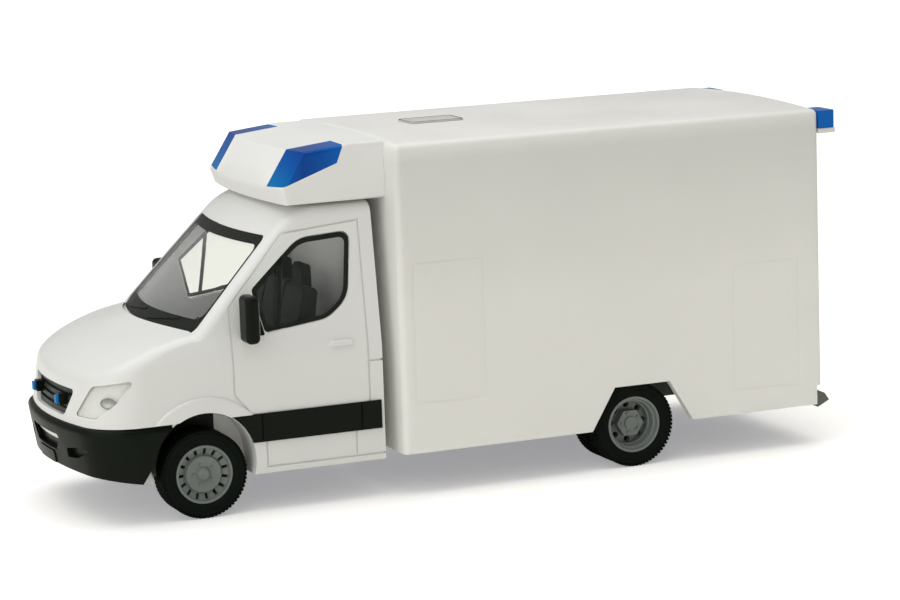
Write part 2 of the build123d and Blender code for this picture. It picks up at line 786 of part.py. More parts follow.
# Cab fittings: floor, dash and three seats in one moulding
dash_top_z = waist_z - dash_drop
fittings_half_width = housing_y - arch_liner - floor_side_gap
with BuildPart() as cab_interior:
    with BuildSketch(Plane.XY.offset(cab_floor_z)):
        with Locations((front_axle_x + dash_x + dash_foot, 0)):
            Rectangle(
                cab_back + dash_x + dash_foot - 2 * cab_wall, 2 * fittings_half_width,
                align=(Align.MAX, Align.CENTER),
            )
    extrude(amount=floor_plate)
    with BuildSketch(Plane.XZ):
        with BuildLine():
            Polyline(
                behind_axle(-dash_x - dash_foot, cab_floor_z),
                behind_axle(-dash_x - dash_foot, dash_top_z - 2 * dash_lip),
                behind_axle(-dash_x, dash_top_z), behind_axle(dash_depth - dash_lip, dash_top_z),
                behind_axle(dash_depth - dash_x, dash_top_z - dash_lip),
                behind_axle(dash_lip - dash_x, dash_top_z - 2 * dash_lip),
                behind_axle(dash_lip - dash_x, cab_floor_z),
                close=True,
            )
        make_face()
    extrude(amount=fittings_half_width, both=True)
    seat_base_z = cab_floor_z + seat_rise
    seat_top_z = seat_base_z + seat_back_height
    for place_y in (seat_y, 0.0, -seat_y):
        with BuildSketch(Plane.XZ.offset(-place_y)):
            with BuildLine():
                Polyline(
                    behind_axle(seat_back - seat_length, cab_floor_z),
                    behind_axle(seat_back - seat_length, seat_base_z),
                    behind_axle(seat_back, seat_base_z), behind_axle(seat_back + seat_rake, seat_top_z),
                    behind_axle(seat_back + seat_rake + seat_back_thickness, seat_top_z),
                    behind_axle(seat_back + seat_back_thickness, cab_floor_z), close=True,
                )
            make_face()
            fillet(vertices().group_by(Axis.Y)[-1], radius=0.45 * seat_back_thickness)
            head_back = seat_back + seat_rake + 0.5 * seat_back_thickness
        extrude(amount=0.5 * seat_width, both=True)
        with BuildSketch(Plane.XZ.offset(-place_y)):
            with Locations(behind_axle(head_back, seat_top_z + 0.25 * headrest_height)):
                RectangleRounded(headrest_thickness, headrest_height, 0.4 * headrest_thickness)
        extrude(amount=0.5 * headrest_width, both=True)
write(cab_interior.part, "cab_interior")

# Steering wheel on its column, on the left
wheel_lean = Vector(-math.sin(math.radians(wheel_tilt_deg)), 0, math.cos(math.radians(wheel_tilt_deg)))
wheel_centre = (front_axle_x + dash_x - wheel_back, seat_y, dash_top_z)
wheel_plane = Plane(origin=wheel_centre, z_dir=wheel_lean)
with BuildPart(wheel_plane) as steering_wheel:
    with BuildSketch(wheel_plane):
        Circle(wheel_ring_radius + wheel_ring_section)
        Circle(wheel_ring_radius - wheel_ring_section, mode=Mode.SUBTRACT)
    extrude(amount=wheel_ring_section, both=True)
    Cylinder(wheel_hub_radius, 2 * wheel_ring_section)
    with PolarLocations(0, 3):
        spoke_align = (Align.MIN, Align.CENTER, Align.CENTER)
        Box(wheel_ring_radius, wheel_spoke, wheel_ring_section, align=spoke_align)
    Cylinder(wheel_spoke, wheel_column, align=(Align.CENTER, Align.CENTER, Align.MAX))
write(steering_wheel.part - cab_interior.part, "steering_wheel")


def box_section(inset, bottom_z):
    """The load box's cross-section: upright sides under a slightly crowned roof."""
    half_width = box_half_width - inset
    eaves_z = box_eaves_z - inset
    with BuildSketch() as section:
        with BuildLine():
            top = ThreePointArc((-half_width, eaves_z), (0, eaves_z + box_crown), (half_width, eaves_z))
            Polyline(top @ 1, (half_width, bottom_z), (-half_width, bottom_z), top @ 0)
        make_face()
        fillet(vertices().group_by(Axis.Y)[-1], radius=box_edge_radius)
    return section.sketch


# Locker doors on each side of the box: rear edge, lower edge, height, handle's rise above the lower edge
lockers = [
    (box_front_x - locker_front_gap - locker_width, 8.5, 13.0, 5.6),
    (box_rear_x + locker_rear_gap, 6.2, 12.2, 8.3),
]
with BuildPart() as locker_lines:
    with BuildSketch(Plane.XZ.offset(-box_half_width)):
        for rear_x, low_z, height, handle_rise in lockers:
            with Locations((rear_x + 0.5 * locker_width, low_z + 0.5 * height)):
                Rectangle(locker_width, height)
                Rectangle(locker_width - 2 * panel_line, height - 2 * panel_line, mode=Mode.SUBTRACT)
            handle_x = rear_x + locker_handle_inset + 0.5 * locker_handle_width
            with Locations((handle_x, low_z + handle_rise + 0.5 * locker_handle_height)):
                RectangleRounded(locker_handle_width, locker_handle_height, 0.4 * locker_handle_width)
    extrude(amount=panel_line_depth, both=True)

# Load box: hollow, open below, with wheel arches, locker lines and rear doors
door_leaf = box_half_width - rear_door_gap
door_low_z = box_bottom_z + rear_door_foot
door_height = box_eaves_z - rear_door_gap - door_low_z
rear_arch_x = rear_axle_x - rear_arch_set_back
with BuildPart() as box_shell:
    with BuildSketch(Plane.YZ.offset(box_rear_x)):
        add(box_section(0, box_bottom_z))
    extrude(amount=box_length)
    fillet(box_shell.edges().filter_by(Axis.Z), radius=box_edge_radius)
    with BuildSketch(Plane.YZ.offset(box_rear_x + box_wall)):
        add(box_section(box_wall, 0))
    extrude(amount=box_length - 2 * box_wall, mode=Mode.SUBTRACT)
    with BuildSketch(Plane.XZ):
        with BuildLine():
            Polyline(
                (rear_arch_x - rear_arch_foot_half_length, box_bottom_z),
                (rear_arch_x - rear_arch_top_half_length, box_bottom_z + rear_arch_height),
                (rear_arch_x + rear_arch_top_half_length, box_bottom_z + rear_arch_height),
                (rear_arch_x + rear_arch_foot_half_length, box_bottom_z), close=True,
            )
        make_face()
    extrude(amount=2 * box_half_width, both=True, mode=Mode.SUBTRACT)
    add(with_mirror(locker_lines.part), mode=Mode.SUBTRACT)
    with BuildSketch(Plane.YZ.offset(box_rear_x)):
        for side in (-1, 1):
            with Locations((side * 0.5 * door_leaf, door_low_z + 0.5 * door_height)):
                Rectangle(door_leaf, door_height)
                Rectangle(door_leaf - 2 * panel_line, door_height - 2 * panel_line, mode=Mode.SUBTRACT)
    extrude(amount=panel_line_depth, both=True, mode=Mode.SUBTRACT)
    with BuildSketch(Plane.XY.offset(rear_notch_z)):
        with Locations((box_rear_x, 0)):
            Rectangle(rear_notch_depth, 4 * box_half_width, align=(Align.MIN, Align.CENTER))
    extrude(amount=-rear_notch_z, mode=Mode.SUBTRACT)
    # The rear wall steps in over the step
    with Locations((box_rear_x + rear_notch_depth, 0, box_bottom_z)):
        Box(
            box_wall, 2 * box_half_width - box_wall, rear_notch_z + box_wall - box_bottom_z,
            align=(Align.MIN, Align.CENTER, Align.MIN),
        )
    add(rail_slot(box_front_x, box_wall), mode=Mode.SUBTRACT)
    # Shelves for the rear beacons
    shelf_z = box_eaves_z - rear_beacon_drop - rear_beacon_height
    for side, align_y in ((-1, Align.MIN), (1, Align.MAX)):
        with Locations((box_rear_x, side * box_half_width, shelf_z)):
            Box(
                rear_beacon_depth, rear_beacon_width, rear_beacon_shelf,
                align=(Align.MAX, align_y, Align.MAX),
            )
write(box_shell.part, "box_shell")

# Rear beacons on their shelves
with BuildPart() as rear_beacon:
    with Locations((box_rear_x, box_half_width, shelf_z)):
        Box(
            rear_beacon_depth, rear_beacon_width, rear_beacon_height,
            align=(Align.MAX, Align.MAX, Align.MIN),
        )
    fillet(rear_beacon.edges().filter_by(Axis.Z).group_by(Axis.X)[0], radius=trim_radius)
write_pair(rear_beacon.part, "rear_beacon")

# Tail lamps low on the rear wall
with BuildPart() as tail_lamp:
    with BuildSketch(Plane.YZ.offset(box_rear_x)):
        with Locations((box_half_width - tail_lamp_width, box_bottom_z + tail_lamp_rise)):
            RectangleRounded(tail_lamp_width, tail_lamp_height, trim_radius)
    extrude(amount=-tail_lamp_depth)
write_pair(tail_lamp.part, "tail_lamp")

# Roof hatch lies on the crowned roof
with BuildPart() as roof_hatch:
    with BuildSketch(Plane.XY.offset(box_eaves_z)):
        with Locations((box_front_x - hatch_back - 0.5 * hatch_length, 0)):
            RectangleRounded(hatch_length, hatch_width, hatch_radius)
    extrude(amount=box_crown + hatch_height)
    with BuildSketch(Plane.YZ.offset(box_rear_x)):
        add(box_section(0, box_bottom_z))
    extrude(amount=box_length, mode=Mode.SUBTRACT)
write(roof_hatch.part, "roof_hatch")

# Roof pod over the cab, fixed to the front of the box, its front bowed by swinging its side view
pod_lip_x = box_front_x + pod_length
pod_bottom_z = roof_z - pod_drop
pod_lip_z = pod_bottom_z + pod_lip_rise
pod_top_z = box_eaves_z + pod_top_rise
pod_pivot_x = pod_lip_x - pod_bow_radius
with BuildPart() as pod_form:
    with BuildSketch(Plane.XZ):
        with BuildLine():
            Polyline(
                (pod_pivot_x, pod_bottom_z), (pod_lip_x - pod_foot_back, pod_bottom_z),
                (pod_lip_x, pod_lip_z),
                (pod_lip_x - pod_shoulder_back, box_eaves_z - pod_shoulder_drop),
                (pod_lip_x - pod_top_back, pod_top_z), (pod_pivot_x, pod_top_z), close=True,
            )
        make_face()
        fillet(vertices().sort_by(Axis.X)[-1], radius=pod_corner_radius)
    revolve(axis=Axis((pod_pivot_x, 0, 0), (0, 0, 1)))
    with BuildSketch(Plane.XY.offset(pod_bottom_z)):
        with Locations((box_front_x, 0)):
            Rectangle(2 * pod_length, 2 * pod_half_width, align=(Align.MIN, Align.CENTER))
    extrude(amount=pod_top_z - pod_bottom_z, mode=Mode.INTERSECT)
    pod_sides = pod_form.faces().filter_by(Axis.Y)
    pod_edges = pod_sides.edges().filter_by(lambda e: e.center().X > box_front_x + fit_gap)
    fillet(pod_edges, radius=pod_edge_radius)
beacon_foot_z = pod_lip_z + beacon_foot_rise
with BuildPart() as beacon_space:
    with BuildSketch(Plane.XZ.offset(-beacon_inner_y)):
        with BuildLine():
            Polyline(
                (pod_lip_x + cut_over, beacon_foot_z), (pod_lip_x - beacon_foot_back, beacon_foot_z),
                (pod_lip_x - beacon_heel_back, box_eaves_z - beacon_heel_drop),
                (pod_lip_x - beacon_top_back, pod_top_z + cut_over),
                (pod_lip_x + cut_over, pod_top_z + cut_over),
                close=True,
            )
        make_face()
    extrude(amount=-pod_half_width)
pod_hollow = cab_form(-pod_roof_gap, sill_z)
write(pod_form.part - with_mirror(beacon_space.part) - pod_hollow, "roof_pod")
write_pair(pod_form.part & beacon_space.part, "front_beacon")

# Chassis: rails, cab floor, load floor and axle bearings in one moulding
chassis_front_x = nose_x - bumper_wall - bulkhead_gap
chassis_rear_x = box_rear_x + rear_notch_depth + box_wall + fit_gap
cab_back_x = cab_rear_x + cab_wall + fit_gap
hold_z = axle_z - axle_block_gap
with BuildPart() as chassis:
    for side in (-1, 1):
        with BuildSketch(Plane.XZ.offset(-side * rail_y)):
            with Locations((chassis_rear_x, rail_bottom_z)):
                Rectangle(chassis_front_x - chassis_rear_x, rail_height, align=Align.MIN)
            with Locations((front_axle_x, hold_z), (rear_axle_x, hold_z)):
                Rectangle(axle_block_length, rail_top_z - hold_z, align=(Align.CENTER, Align.MIN))
        extrude(amount=0.5 * rail_width, both=True)
    with BuildSketch(Plane.XY.offset(rail_top_z)):
        with Locations((cab_back_x, 0)):
            Rectangle(
                chassis_front_x - cab_back_x, 2 * (housing_y - arch_liner - fit_gap),
                align=(Align.MIN, Align.CENTER),
            )
            Rectangle(
                front_axle_x - arch_radius - arch_liner - fit_gap - cab_back_x,
                2 * (cab_half_width - cab_wall - fit_gap), align=(Align.MIN, Align.CENTER),
            )
    extrude(amount=floor_plate)
    with BuildSketch(Plane.XY.offset(load_floor_z)):
        with Locations((box_rear_x + box_wall + fit_gap, 0)):
            Rectangle(
                box_length - 2 * (box_wall + fit_gap), 2 * (box_half_width - box_wall - fit_gap),
                align=(Align.MIN, Align.CENTER),
            )
    extrude(amount=floor_plate)
    # Cross members carry the load floor on the rails
    member_places = (
        box_rear_x + member_end, rear_axle_x - member_spread, rear_axle_x + member_spread, base_screw_x,
        box_front_x - member_end,
    )
    with BuildSketch(Plane.XY.offset(rail_bottom_z)):
        for place_x in member_places:
            with Locations((place_x, 0)):
                Rectangle(member_width, 2 * rail_y + rail_width)
    extrude(amount=load_floor_z - rail_bottom_z)
    with BuildSketch(Plane.XY.offset(base_boss_z)):
        with Locations((base_screw_x, 0)):
            Circle(base_screw_radius + base_boss_wall)
    extrude(amount=load_floor_z - base_boss_z)
    with BuildSketch(Plane.XY.offset(base_boss_z)):
        with Locations((base_screw_x, 0)):
            Circle(base_screw_radius)
    extrude(amount=base_screw_depth, mode=Mode.SUBTRACT)
    with BuildSketch(Plane.XZ):
        with Locations((front_axle_x, axle_z), (rear_axle_x, axle_z)):
            Circle(axle_radius + bearing_clearance)
    extrude(amount=2 * rail_y, both=True, mode=Mode.SUBTRACT)
write(chassis.part, "chassis")

# Rear step with a ribbed tread
step_front_x = box_rear_x + rear_notch_depth
step_top_z = rear_notch_z - step_drop
rib_run = step_tread / step_rib_count
rib_fall = step_tread_fall / step_rib_count
with BuildPart() as rear_step:
    with BuildSketch(Plane.XZ):
        with BuildLine():
            points = [(step_front_x, step_top_z)]
            for rib in range(step_rib_count):
                groove_x = step_front_x - (rib + 0.5) * rib_run
                points.append((groove_x, step_top_z - (rib + 0.5) * rib_fall - step_rib_depth))
                points.append((step_front_x - (rib + 1) * rib_run, step_top_z - (rib + 1) * rib_fall))
            Polyline(
                *points, (step_front_x - step_reach, step_top_z - step_nose_fall),
                (step_front_x - step_heel, step_top_z - step_height),
                (step_front_x, step_top_z - step_height + step_heel), close=True,
            )
        make_face()
    extrude(amount=box_half_width - step_side_gap, both=True)
write(rear_step.part, "rear_step")


def tyre(axle_x, outer_y, width):
    """A tyre with sloped shoulders and bulging walls, on the left side."""
    wall = tyre_radius - rim_radius
    profile = [
        (rim_radius, tyre_bulge), (rim_radius + tyre_wall_low * wall, 0),
        (rim_radius + tyre_wall_high * wall, 0), (tyre_radius, tyre_shoulder),
    ]
    outer = [(outer_y - inset, axle_z + radius) for radius, inset in profile]
    inner = [(outer_y - width + inset, axle_z + radius) for radius, inset in reversed(profile)]
    with BuildPart() as solid:
        with BuildSketch(Plane.YZ.offset(axle_x)):
            with BuildLine():
                Polyline(*outer, *inner, close=True)
            make_face()
        revolve(axis=Axis((axle_x, 0, axle_z), (0, 1, 0)))
    return solid.part


def rim(axle_x, face_y, section, web_depth, width):
    """A wheel turned from its section, seated in its tyre."""
    seat = axle_z + rim_radius - fit_gap
    barrel = section[0][1] - rim_bead
    with BuildPart() as solid:
        with BuildSketch(Plane.YZ.offset(axle_x)):
            with BuildLine():
                Polyline(
                    (face_y - rim_bead, seat),
                    *[(face_y - depth, axle_z + radius) for depth, radius in section],
                    (face_y - section[-1][0], axle_z), (face_y - web_depth, axle_z),
                    (face_y - web_depth, axle_z + barrel), (face_y - width + rim_bead, axle_z + barrel),
                    (face_y - width + rim_bead, seat), close=True,
                )
            make_face()
        revolve(axis=Axis((axle_x, 0, axle_z), (0, 1, 0)))
    return solid.part


def axle(axle_x, half_length):
    """A plain axle pin through both bearings."""
    with BuildPart() as solid:
        with BuildSketch(Plane.XZ):
            with Locations((axle_x, axle_z)):
                Circle(axle_radius)
        extrude(amount=half_length, both=True)
    return solid.part


# Front wheels: pressed steel, with a ring of slots near the rim and five studs round the hub
front_dish_y = front_face_y - front_rim_section[4][0]
with BuildPart() as front_rim:
    add(rim(front_axle_x, front_face_y, front_rim_section, front_web_depth, tyre_width))
    with BuildSketch(Plane.XZ.offset(-front_face_y)):
        with Locations((front_axle_x, axle_z)):
            with PolarLocations(front_hole_ring, front_hole_count):
                Rectangle(front_hole_length, front_hole_width)
    extrude(amount=front_web_depth + cut_over * fit_gap, mode=Mode.SUBTRACT)
    with BuildSketch(Plane.XZ.offset(-front_dish_y)):
        with Locations((front_axle_x, axle_z)):
            with PolarLocations(front_stud_ring, stud_count):
                RegularPolygon(stud_radius, stud_sides)
    extrude(amount=stud_height, both=True)

# Rear wheels: deep dished, with holes round a raised hub plate
rear_dish_y = rear_face_y - rear_rim_section[-1][0]
plate_y = rear_face_y - 0.5 * rear_rim_section[-1][0]
twin_width = 2 * twin_tyre_width + twin_gap
with BuildPart() as rear_rim:
    add(rim(rear_axle_x, rear_face_y, rear_rim_section, rear_web_depth, twin_width))
    with BuildSketch(Plane.XZ.offset(-rear_face_y)):
        with Locations((rear_axle_x, axle_z)):
            with PolarLocations(rear_hole_ring, rear_hole_count):
                Circle(rear_hole_radius)
    extrude(amount=rear_web_depth + cut_over * fit_gap, mode=Mode.SUBTRACT)
    with BuildSketch(Plane.XZ.offset(-rear_dish_y)):
        with Locations((rear_axle_x, axle_z)):
            RegularPolygon(hub_plate_radius, hub_plate_sides)
    extrude(amount=rear_dish_y - plate_y)
    with BuildSketch(Plane.XZ.offset(-plate_y)):
        with Locations((rear_axle_x, axle_z)):
            Circle(axle_radius)
            with PolarLocations(rear_stud_ring, stud_count):
                RegularPolygon(stud_radius, stud_sides)
    extrude(amount=-stud_height)

write(axle(front_axle_x, front_face_y - front_web_depth), "front_axle")
write(axle(rear_axle_x, rear_face_y - rear_web_depth), "rear_axle")
write_pair(front_rim.part, "front_rim")
write_pair(rear_rim.part, "rear_rim")
write_pair(tyre(front_axle_x, front_face_y, tyre_width), "front_tyre")
write_pair(tyre(rear_axle_x, rear_face_y, twin_tyre_width), "rear_outer_tyre")
write_pair(tyre(rear_axle_x, inner_face_y, twin_tyre_width), "rear_inner_tyre")
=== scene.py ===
import math

import bmesh
import bpy
from mathutils import Matrix, Vector
from mathutils.bvhtree import BVHTree


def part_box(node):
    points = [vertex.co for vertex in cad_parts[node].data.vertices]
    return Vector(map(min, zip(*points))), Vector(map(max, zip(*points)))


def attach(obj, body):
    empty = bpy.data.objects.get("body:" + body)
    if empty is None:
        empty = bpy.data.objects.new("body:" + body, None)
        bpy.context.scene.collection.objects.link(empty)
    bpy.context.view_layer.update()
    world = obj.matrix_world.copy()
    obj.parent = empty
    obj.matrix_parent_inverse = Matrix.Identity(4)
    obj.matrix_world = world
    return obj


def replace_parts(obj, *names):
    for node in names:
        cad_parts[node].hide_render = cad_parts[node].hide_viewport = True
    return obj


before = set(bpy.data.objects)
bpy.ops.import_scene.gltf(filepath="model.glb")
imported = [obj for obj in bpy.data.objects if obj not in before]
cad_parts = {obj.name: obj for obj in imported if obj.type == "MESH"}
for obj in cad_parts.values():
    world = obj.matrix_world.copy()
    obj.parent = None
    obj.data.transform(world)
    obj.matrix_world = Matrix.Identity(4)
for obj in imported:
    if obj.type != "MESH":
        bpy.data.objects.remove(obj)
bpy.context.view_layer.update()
mm = 0.001


# Chassis and rear step: the grey moulding that carries rails, floors and axle bearings, with the ribbed
# step clipped on behind. Both are injection moulded, unpainted and matt from the tool.
def plastic(name, colour, rough, gleam=0.5, cloud_mm=3.0, shade=0.05, grain_mm=0.12, grain=0.12):
    """Moulded plastic: faint clouding, uneven gloss and a fine grain, all in object coordinates."""
    noise_low, noise_high = 0.3, 0.7
    gloss_low, gloss_high = 0.85, 1.15
    grain_height = 0.02 * mm
    material = bpy.data.materials.new(name)
    material.use_nodes = True
    nodes = material.node_tree.nodes
    links = material.node_tree.links
    shader = nodes["Principled BSDF"]
    shader.inputs["Specular IOR Level"].default_value = gleam
    place = nodes.new("ShaderNodeTexCoord")
    cloud = nodes.new("ShaderNodeTexNoise")
    cloud.inputs["Scale"].default_value = 1 / (cloud_mm * mm)
    cloud.inputs["Detail"].default_value = 4
    links.new(place.outputs["Object"], cloud.inputs["Vector"])
    tint = nodes.new("ShaderNodeValToRGB")
    tint.color_ramp.elements[0].position = noise_low
    tint.color_ramp.elements[1].position = noise_high
    tint.color_ramp.elements[0].color = (*[c * (1 - shade) for c in colour], 1)
    tint.color_ramp.elements[1].color = (*[min(1, c * (1 + shade)) for c in colour], 1)
    links.new(cloud.outputs["Fac"], tint.inputs["Fac"])
    links.new(tint.outputs["Color"], shader.inputs["Base Color"])
    gloss = nodes.new("ShaderNodeMapRange")
    gloss.inputs["From Min"].default_value = noise_low
    gloss.inputs["From Max"].default_value = noise_high
    gloss.inputs["To Min"].default_value = gloss_low * rough
    gloss.inputs["To Max"].default_value = min(1, gloss_high * rough)
    links.new(cloud.outputs["Fac"], gloss.inputs["Value"])
    links.new(gloss.outputs["Result"], shader.inputs["Roughness"])
    speck = nodes.new("ShaderNodeTexNoise")
    speck.inputs["Scale"].default_value = 1 / (grain_mm * mm)
    speck.inputs["Detail"].default_value = 2
    links.new(place.outputs["Object"], speck.inputs["Vector"])
    bump = nodes.new("ShaderNodeBump")
    bump.inputs["Strength"].default_value = grain
    bump.inputs["Distance"].default_value = grain_height
    links.new(speck.outputs["Fac"], bump.inputs["Height"])
    links.new(bump.outputs["Normal"], shader.inputs["Normal"])
    return material, shader


def paint(node, material):
    """Give a CAD piece its finish and leave its shape and smooth shading as they are."""
    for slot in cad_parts[node].material_slots:
        slot.material = material


def paint_pair(node, material):
    """Give a left and a right CAD piece the same finish."""
    paint(node + "_left", material)
    paint(node + "_right", material)


def joined(node):
    """A CAD piece's facets, joined at their corners into one closed skin."""
    same_point = 0.001 * mm
    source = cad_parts[node].data
    skin = bmesh.new()
    corners = [skin.verts.new(v.co) for v in source.vertices]
    for face in source.polygons:
        skin.faces.new([corners[i] for i in face.vertices])
    bmesh.ops.remove_doubles(skin, verts=skin.verts, dist=same_point)
    bmesh.ops.recalc_face_normals(skin, faces=skin.faces)
    return skin


def place_piece(name, skin, material, body, crease_deg=35):
    """Put a finished skin in the scene as a named piece that rides on a body, smooth up to its creases."""
    bmesh.ops.recalc_face_normals(skin, faces=skin.faces)
    for face in skin.faces:
        face.smooth = True
    mesh = bpy.data.meshes.new(name)
    skin.to_mesh(mesh)
    skin.free()
    mesh.set_sharp_from_angle(angle=math.radians(crease_deg))
    mesh.materials.append(material)
    piece = bpy.data.objects.new(name, mesh)
    bpy.context.scene.collection.objects.link(piece)
    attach(piece, body)
    return piece


def round_off(node, material, edge_mm):
    """Replace a CAD piece of the body by a copy whose hard edges are rounded off to catch the light."""
    flat_angle, hard_angle = math.radians(0.5), math.radians(25)
    skin = joined(node)
    bmesh.ops.dissolve_limit(skin, angle_limit=flat_angle, verts=skin.verts, edges=skin.edges)
    hard = [e for e in skin.edges if e.is_manifold and e.calc_face_angle() > hard_angle]
    bmesh.ops.bevel(
        skin, geom=hard, offset=edge_mm * mm, segments=3, profile=0.5, affect="EDGES", clamp_overlap=True,
    )
    piece = place_piece(node + "_rounded", skin, material, "body")
    even = piece.modifiers.new("even_shading", "WEIGHTED_NORMAL")
    even.keep_sharp = True
    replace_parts(piece, node)
    return piece


chassis_grey, _ = plastic("chassis_grey_plastic", (0.085, 0.100, 0.088), 0.55, gleam=0.3)
paint("chassis", chassis_grey)
step_grey, _ = plastic("step_grey_plastic", (0.095, 0.112, 0.097), 0.42)
round_off("rear_step", step_grey, edge_mm=0.05)


# Axles: two plain drawn steel pins, pressed into the wheels and turning in slots in the chassis. They are
# bare metal, with the faint clouding that handling leaves.
axle_steel, axle_shader = plastic("axle_steel", (0.55, 0.55, 0.54), 0.34, cloud_mm=0.8)
axle_shader.inputs["Metallic"].default_value = 1
paint("front_axle", axle_steel)
paint("rear_axle", axle_steel)


# Tyres: six soft black rings pressed over the wheels, singles in front and twins behind. Each is moulded
# with a stepped wall, two plain ribs round its middle and a row of small blocks along either shoulder.
tyre_black, _ = plastic(
    "tyre_black_rubber", (0.0070, 0.0095, 0.0070), 0.75, gleam=0.04, cloud_mm=1.2, shade=0.12, grain=0.25,
)
rib_depth = 0.015 * mm
wall_step = 0.03 * mm
block_count = 66
block_run = 0.26 * mm
block_drop = 0.005 * mm
block_height = 0.17 * mm
block_row_share = 0.79
block_width_share = 0.36
bead_share = 0.675


def lathe(skin, profile, place, steps):
    """Turn a closed profile of (along, radius) points round the local Y of a placed axis."""
    rings = []
    for k in range(steps):
        turn = 2 * math.pi * k / steps
        rings.append([
            skin.verts.new(place @ Vector((radius * math.cos(turn), along, radius * math.sin(turn))))
            for along, radius in profile
        ])
    for k in range(steps):
        here, there = rings[k], rings[(k + 1) % steps]
        for i in range(len(profile)):
            j = (i + 1) % len(profile)
            skin.faces.new((here[i], here[j], there[j], there[i]))


def tread_tree():
    """Rings of shoulder blocks, one ring standing on each point that comes in."""
    tree = bpy.data.node_groups.new("tread_blocks", "GeometryNodeTree")
    sockets = {}
    for label, kind in (
        ("Rows", "Geometry"), ("Blocks", "Int"), ("Radius", "Float"), ("Block Size", "Vector"),
    ):
        sockets[label] = tree.interface.new_socket(label, in_out="INPUT", socket_type="NodeSocket" + kind)
    tree.interface.new_socket("Tread", in_out="OUTPUT", socket_type="NodeSocketGeometry")
    take = tree.nodes.new("NodeGroupInput")
    give = tree.nodes.new("NodeGroupOutput")
    circle = tree.nodes.new("GeometryNodeMeshCircle")
    block = tree.nodes.new("GeometryNodeMeshCube")
    index = tree.nodes.new("GeometryNodeInputIndex")
    pitch = tree.nodes.new("ShaderNodeMath")
    pitch.operation = "DIVIDE"
    pitch.inputs[0].default_value = 2 * math.pi
    turn = tree.nodes.new("ShaderNodeMath")
    turn.operation = "MULTIPLY"
    spin = tree.nodes.new("ShaderNodeCombineXYZ")
    ring = tree.nodes.new("GeometryNodeInstanceOnPoints")
    stand = tree.nodes.new("GeometryNodeTransform")
    stand.inputs["Rotation"].default_value = (0.5 * math.pi, 0, 0)
    rows = tree.nodes.new("GeometryNodeInstanceOnPoints")
    solid = tree.nodes.new("GeometryNodeRealizeInstances")
    finish = tree.nodes.new("GeometryNodeSetMaterial")
    finish.inputs["Material"].default_value = tyre_black
    for start, end in (
        (take.outputs["Blocks"], circle.inputs["Vertices"]),
        (take.outputs["Radius"], circle.inputs["Radius"]),
        (take.outputs["Block Size"], block.inputs["Size"]),
        (take.outputs["Blocks"], pitch.inputs[1]),
        (index.outputs["Index"], turn.inputs[0]),
        (pitch.outputs[0], turn.inputs[1]),
        (turn.outputs[0], spin.inputs["Z"]),
        (circle.outputs["Mesh"], ring.inputs["Points"]),
        (block.outputs["Mesh"], ring.inputs["Instance"]),
        (spin.outputs["Vector"], ring.inputs["Rotation"]),
        (ring.outputs["Instances"], stand.inputs["Geometry"]),
        (take.outputs["Rows"], rows.inputs["Points"]),
        (stand.outputs["Geometry"], rows.inputs["Instance"]),
        (rows.outputs["Instances"], solid.inputs["Geometry"]),
        (solid.outputs["Geometry"], finish.inputs["Geometry"]),
        (finish.outputs["Geometry"], give.inputs["Tread"]),
    ):
        tree.links.new(start, end)
    return tree, sockets


blocks_tree, blocks_socket = tread_tree()
for body, tyres, tread_depth in (
    ("front_wheels", ("front_tyre",), 0.05 * mm),
    ("rear_wheels", ("rear_outer_tyre", "rear_inner_tyre"), 0.1 * mm),
):
    row_places = []
    for node in [tyre + "_" + side for tyre in tyres for side in ("left", "right")]:
        low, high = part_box(node)
        centre = 0.5 * (Vector(low) + Vector(high))
        half = 0.5 * (high[1] - low[1])
        radius = 0.5 * (high[2] - low[2])
        bead = bead_share * radius
        base = radius - tread_depth
        rib = radius - rib_depth
        outer_half = [
            (half - 4 * wall_step, bead), (half - 1.5 * wall_step, bead + 6 * wall_step),
            (half, bead + 12 * wall_step), (half, 0.815 * radius), (half - wall_step, 0.82 * radius),
            (half - wall_step, 0.845 * radius), (half, 0.85 * radius), (half - wall_step, 0.925 * radius),
            (half - 5 * wall_step, 0.957 * radius), (0.86 * half, base), (0.6 * half, base),
            (0.57 * half, rib), (0.12 * half, rib), (0.09 * half, base),
        ]
        profile = outer_half + [(-along, r) for along, r in reversed(outer_half)]
        skin = bmesh.new()
        lathe(skin, profile, Matrix.Translation(centre), steps=120)
        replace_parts(place_piece(node + "_moulded", skin, tyre_black, body), node)
        row_offset = Vector((0, block_row_share * half, 0))
        row_places += [centre + row_offset, centre - row_offset]
    rows_mesh = bpy.data.meshes.new(body + "_tread_rows")
    rows_mesh.from_pydata([tuple(p) for p in row_places], [], [])
    carrier = bpy.data.objects.new(body + "_tread_rows", rows_mesh)
    bpy.context.scene.collection.objects.link(carrier)
    grow = carrier.modifiers.new("tread_blocks", "NODES")
    grow.node_group = blocks_tree
    grow[blocks_socket["Blocks"].identifier] = block_count
    grow[blocks_socket["Radius"].identifier] = radius - block_drop - 0.5 * block_height
    grow[blocks_socket["Block Size"].identifier] = (block_height, block_run, block_width_share * half)
    grown = carrier.evaluated_get(bpy.context.evaluated_depsgraph_get())
    tread_mesh = bpy.data.meshes.new_from_object(grown)
    bpy.data.objects.remove(carrier)
    tread = bpy.data.objects.new(body + "_tread_blocks", tread_mesh)
    bpy.context.scene.collection.objects.link(tread)
    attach(tread, body)


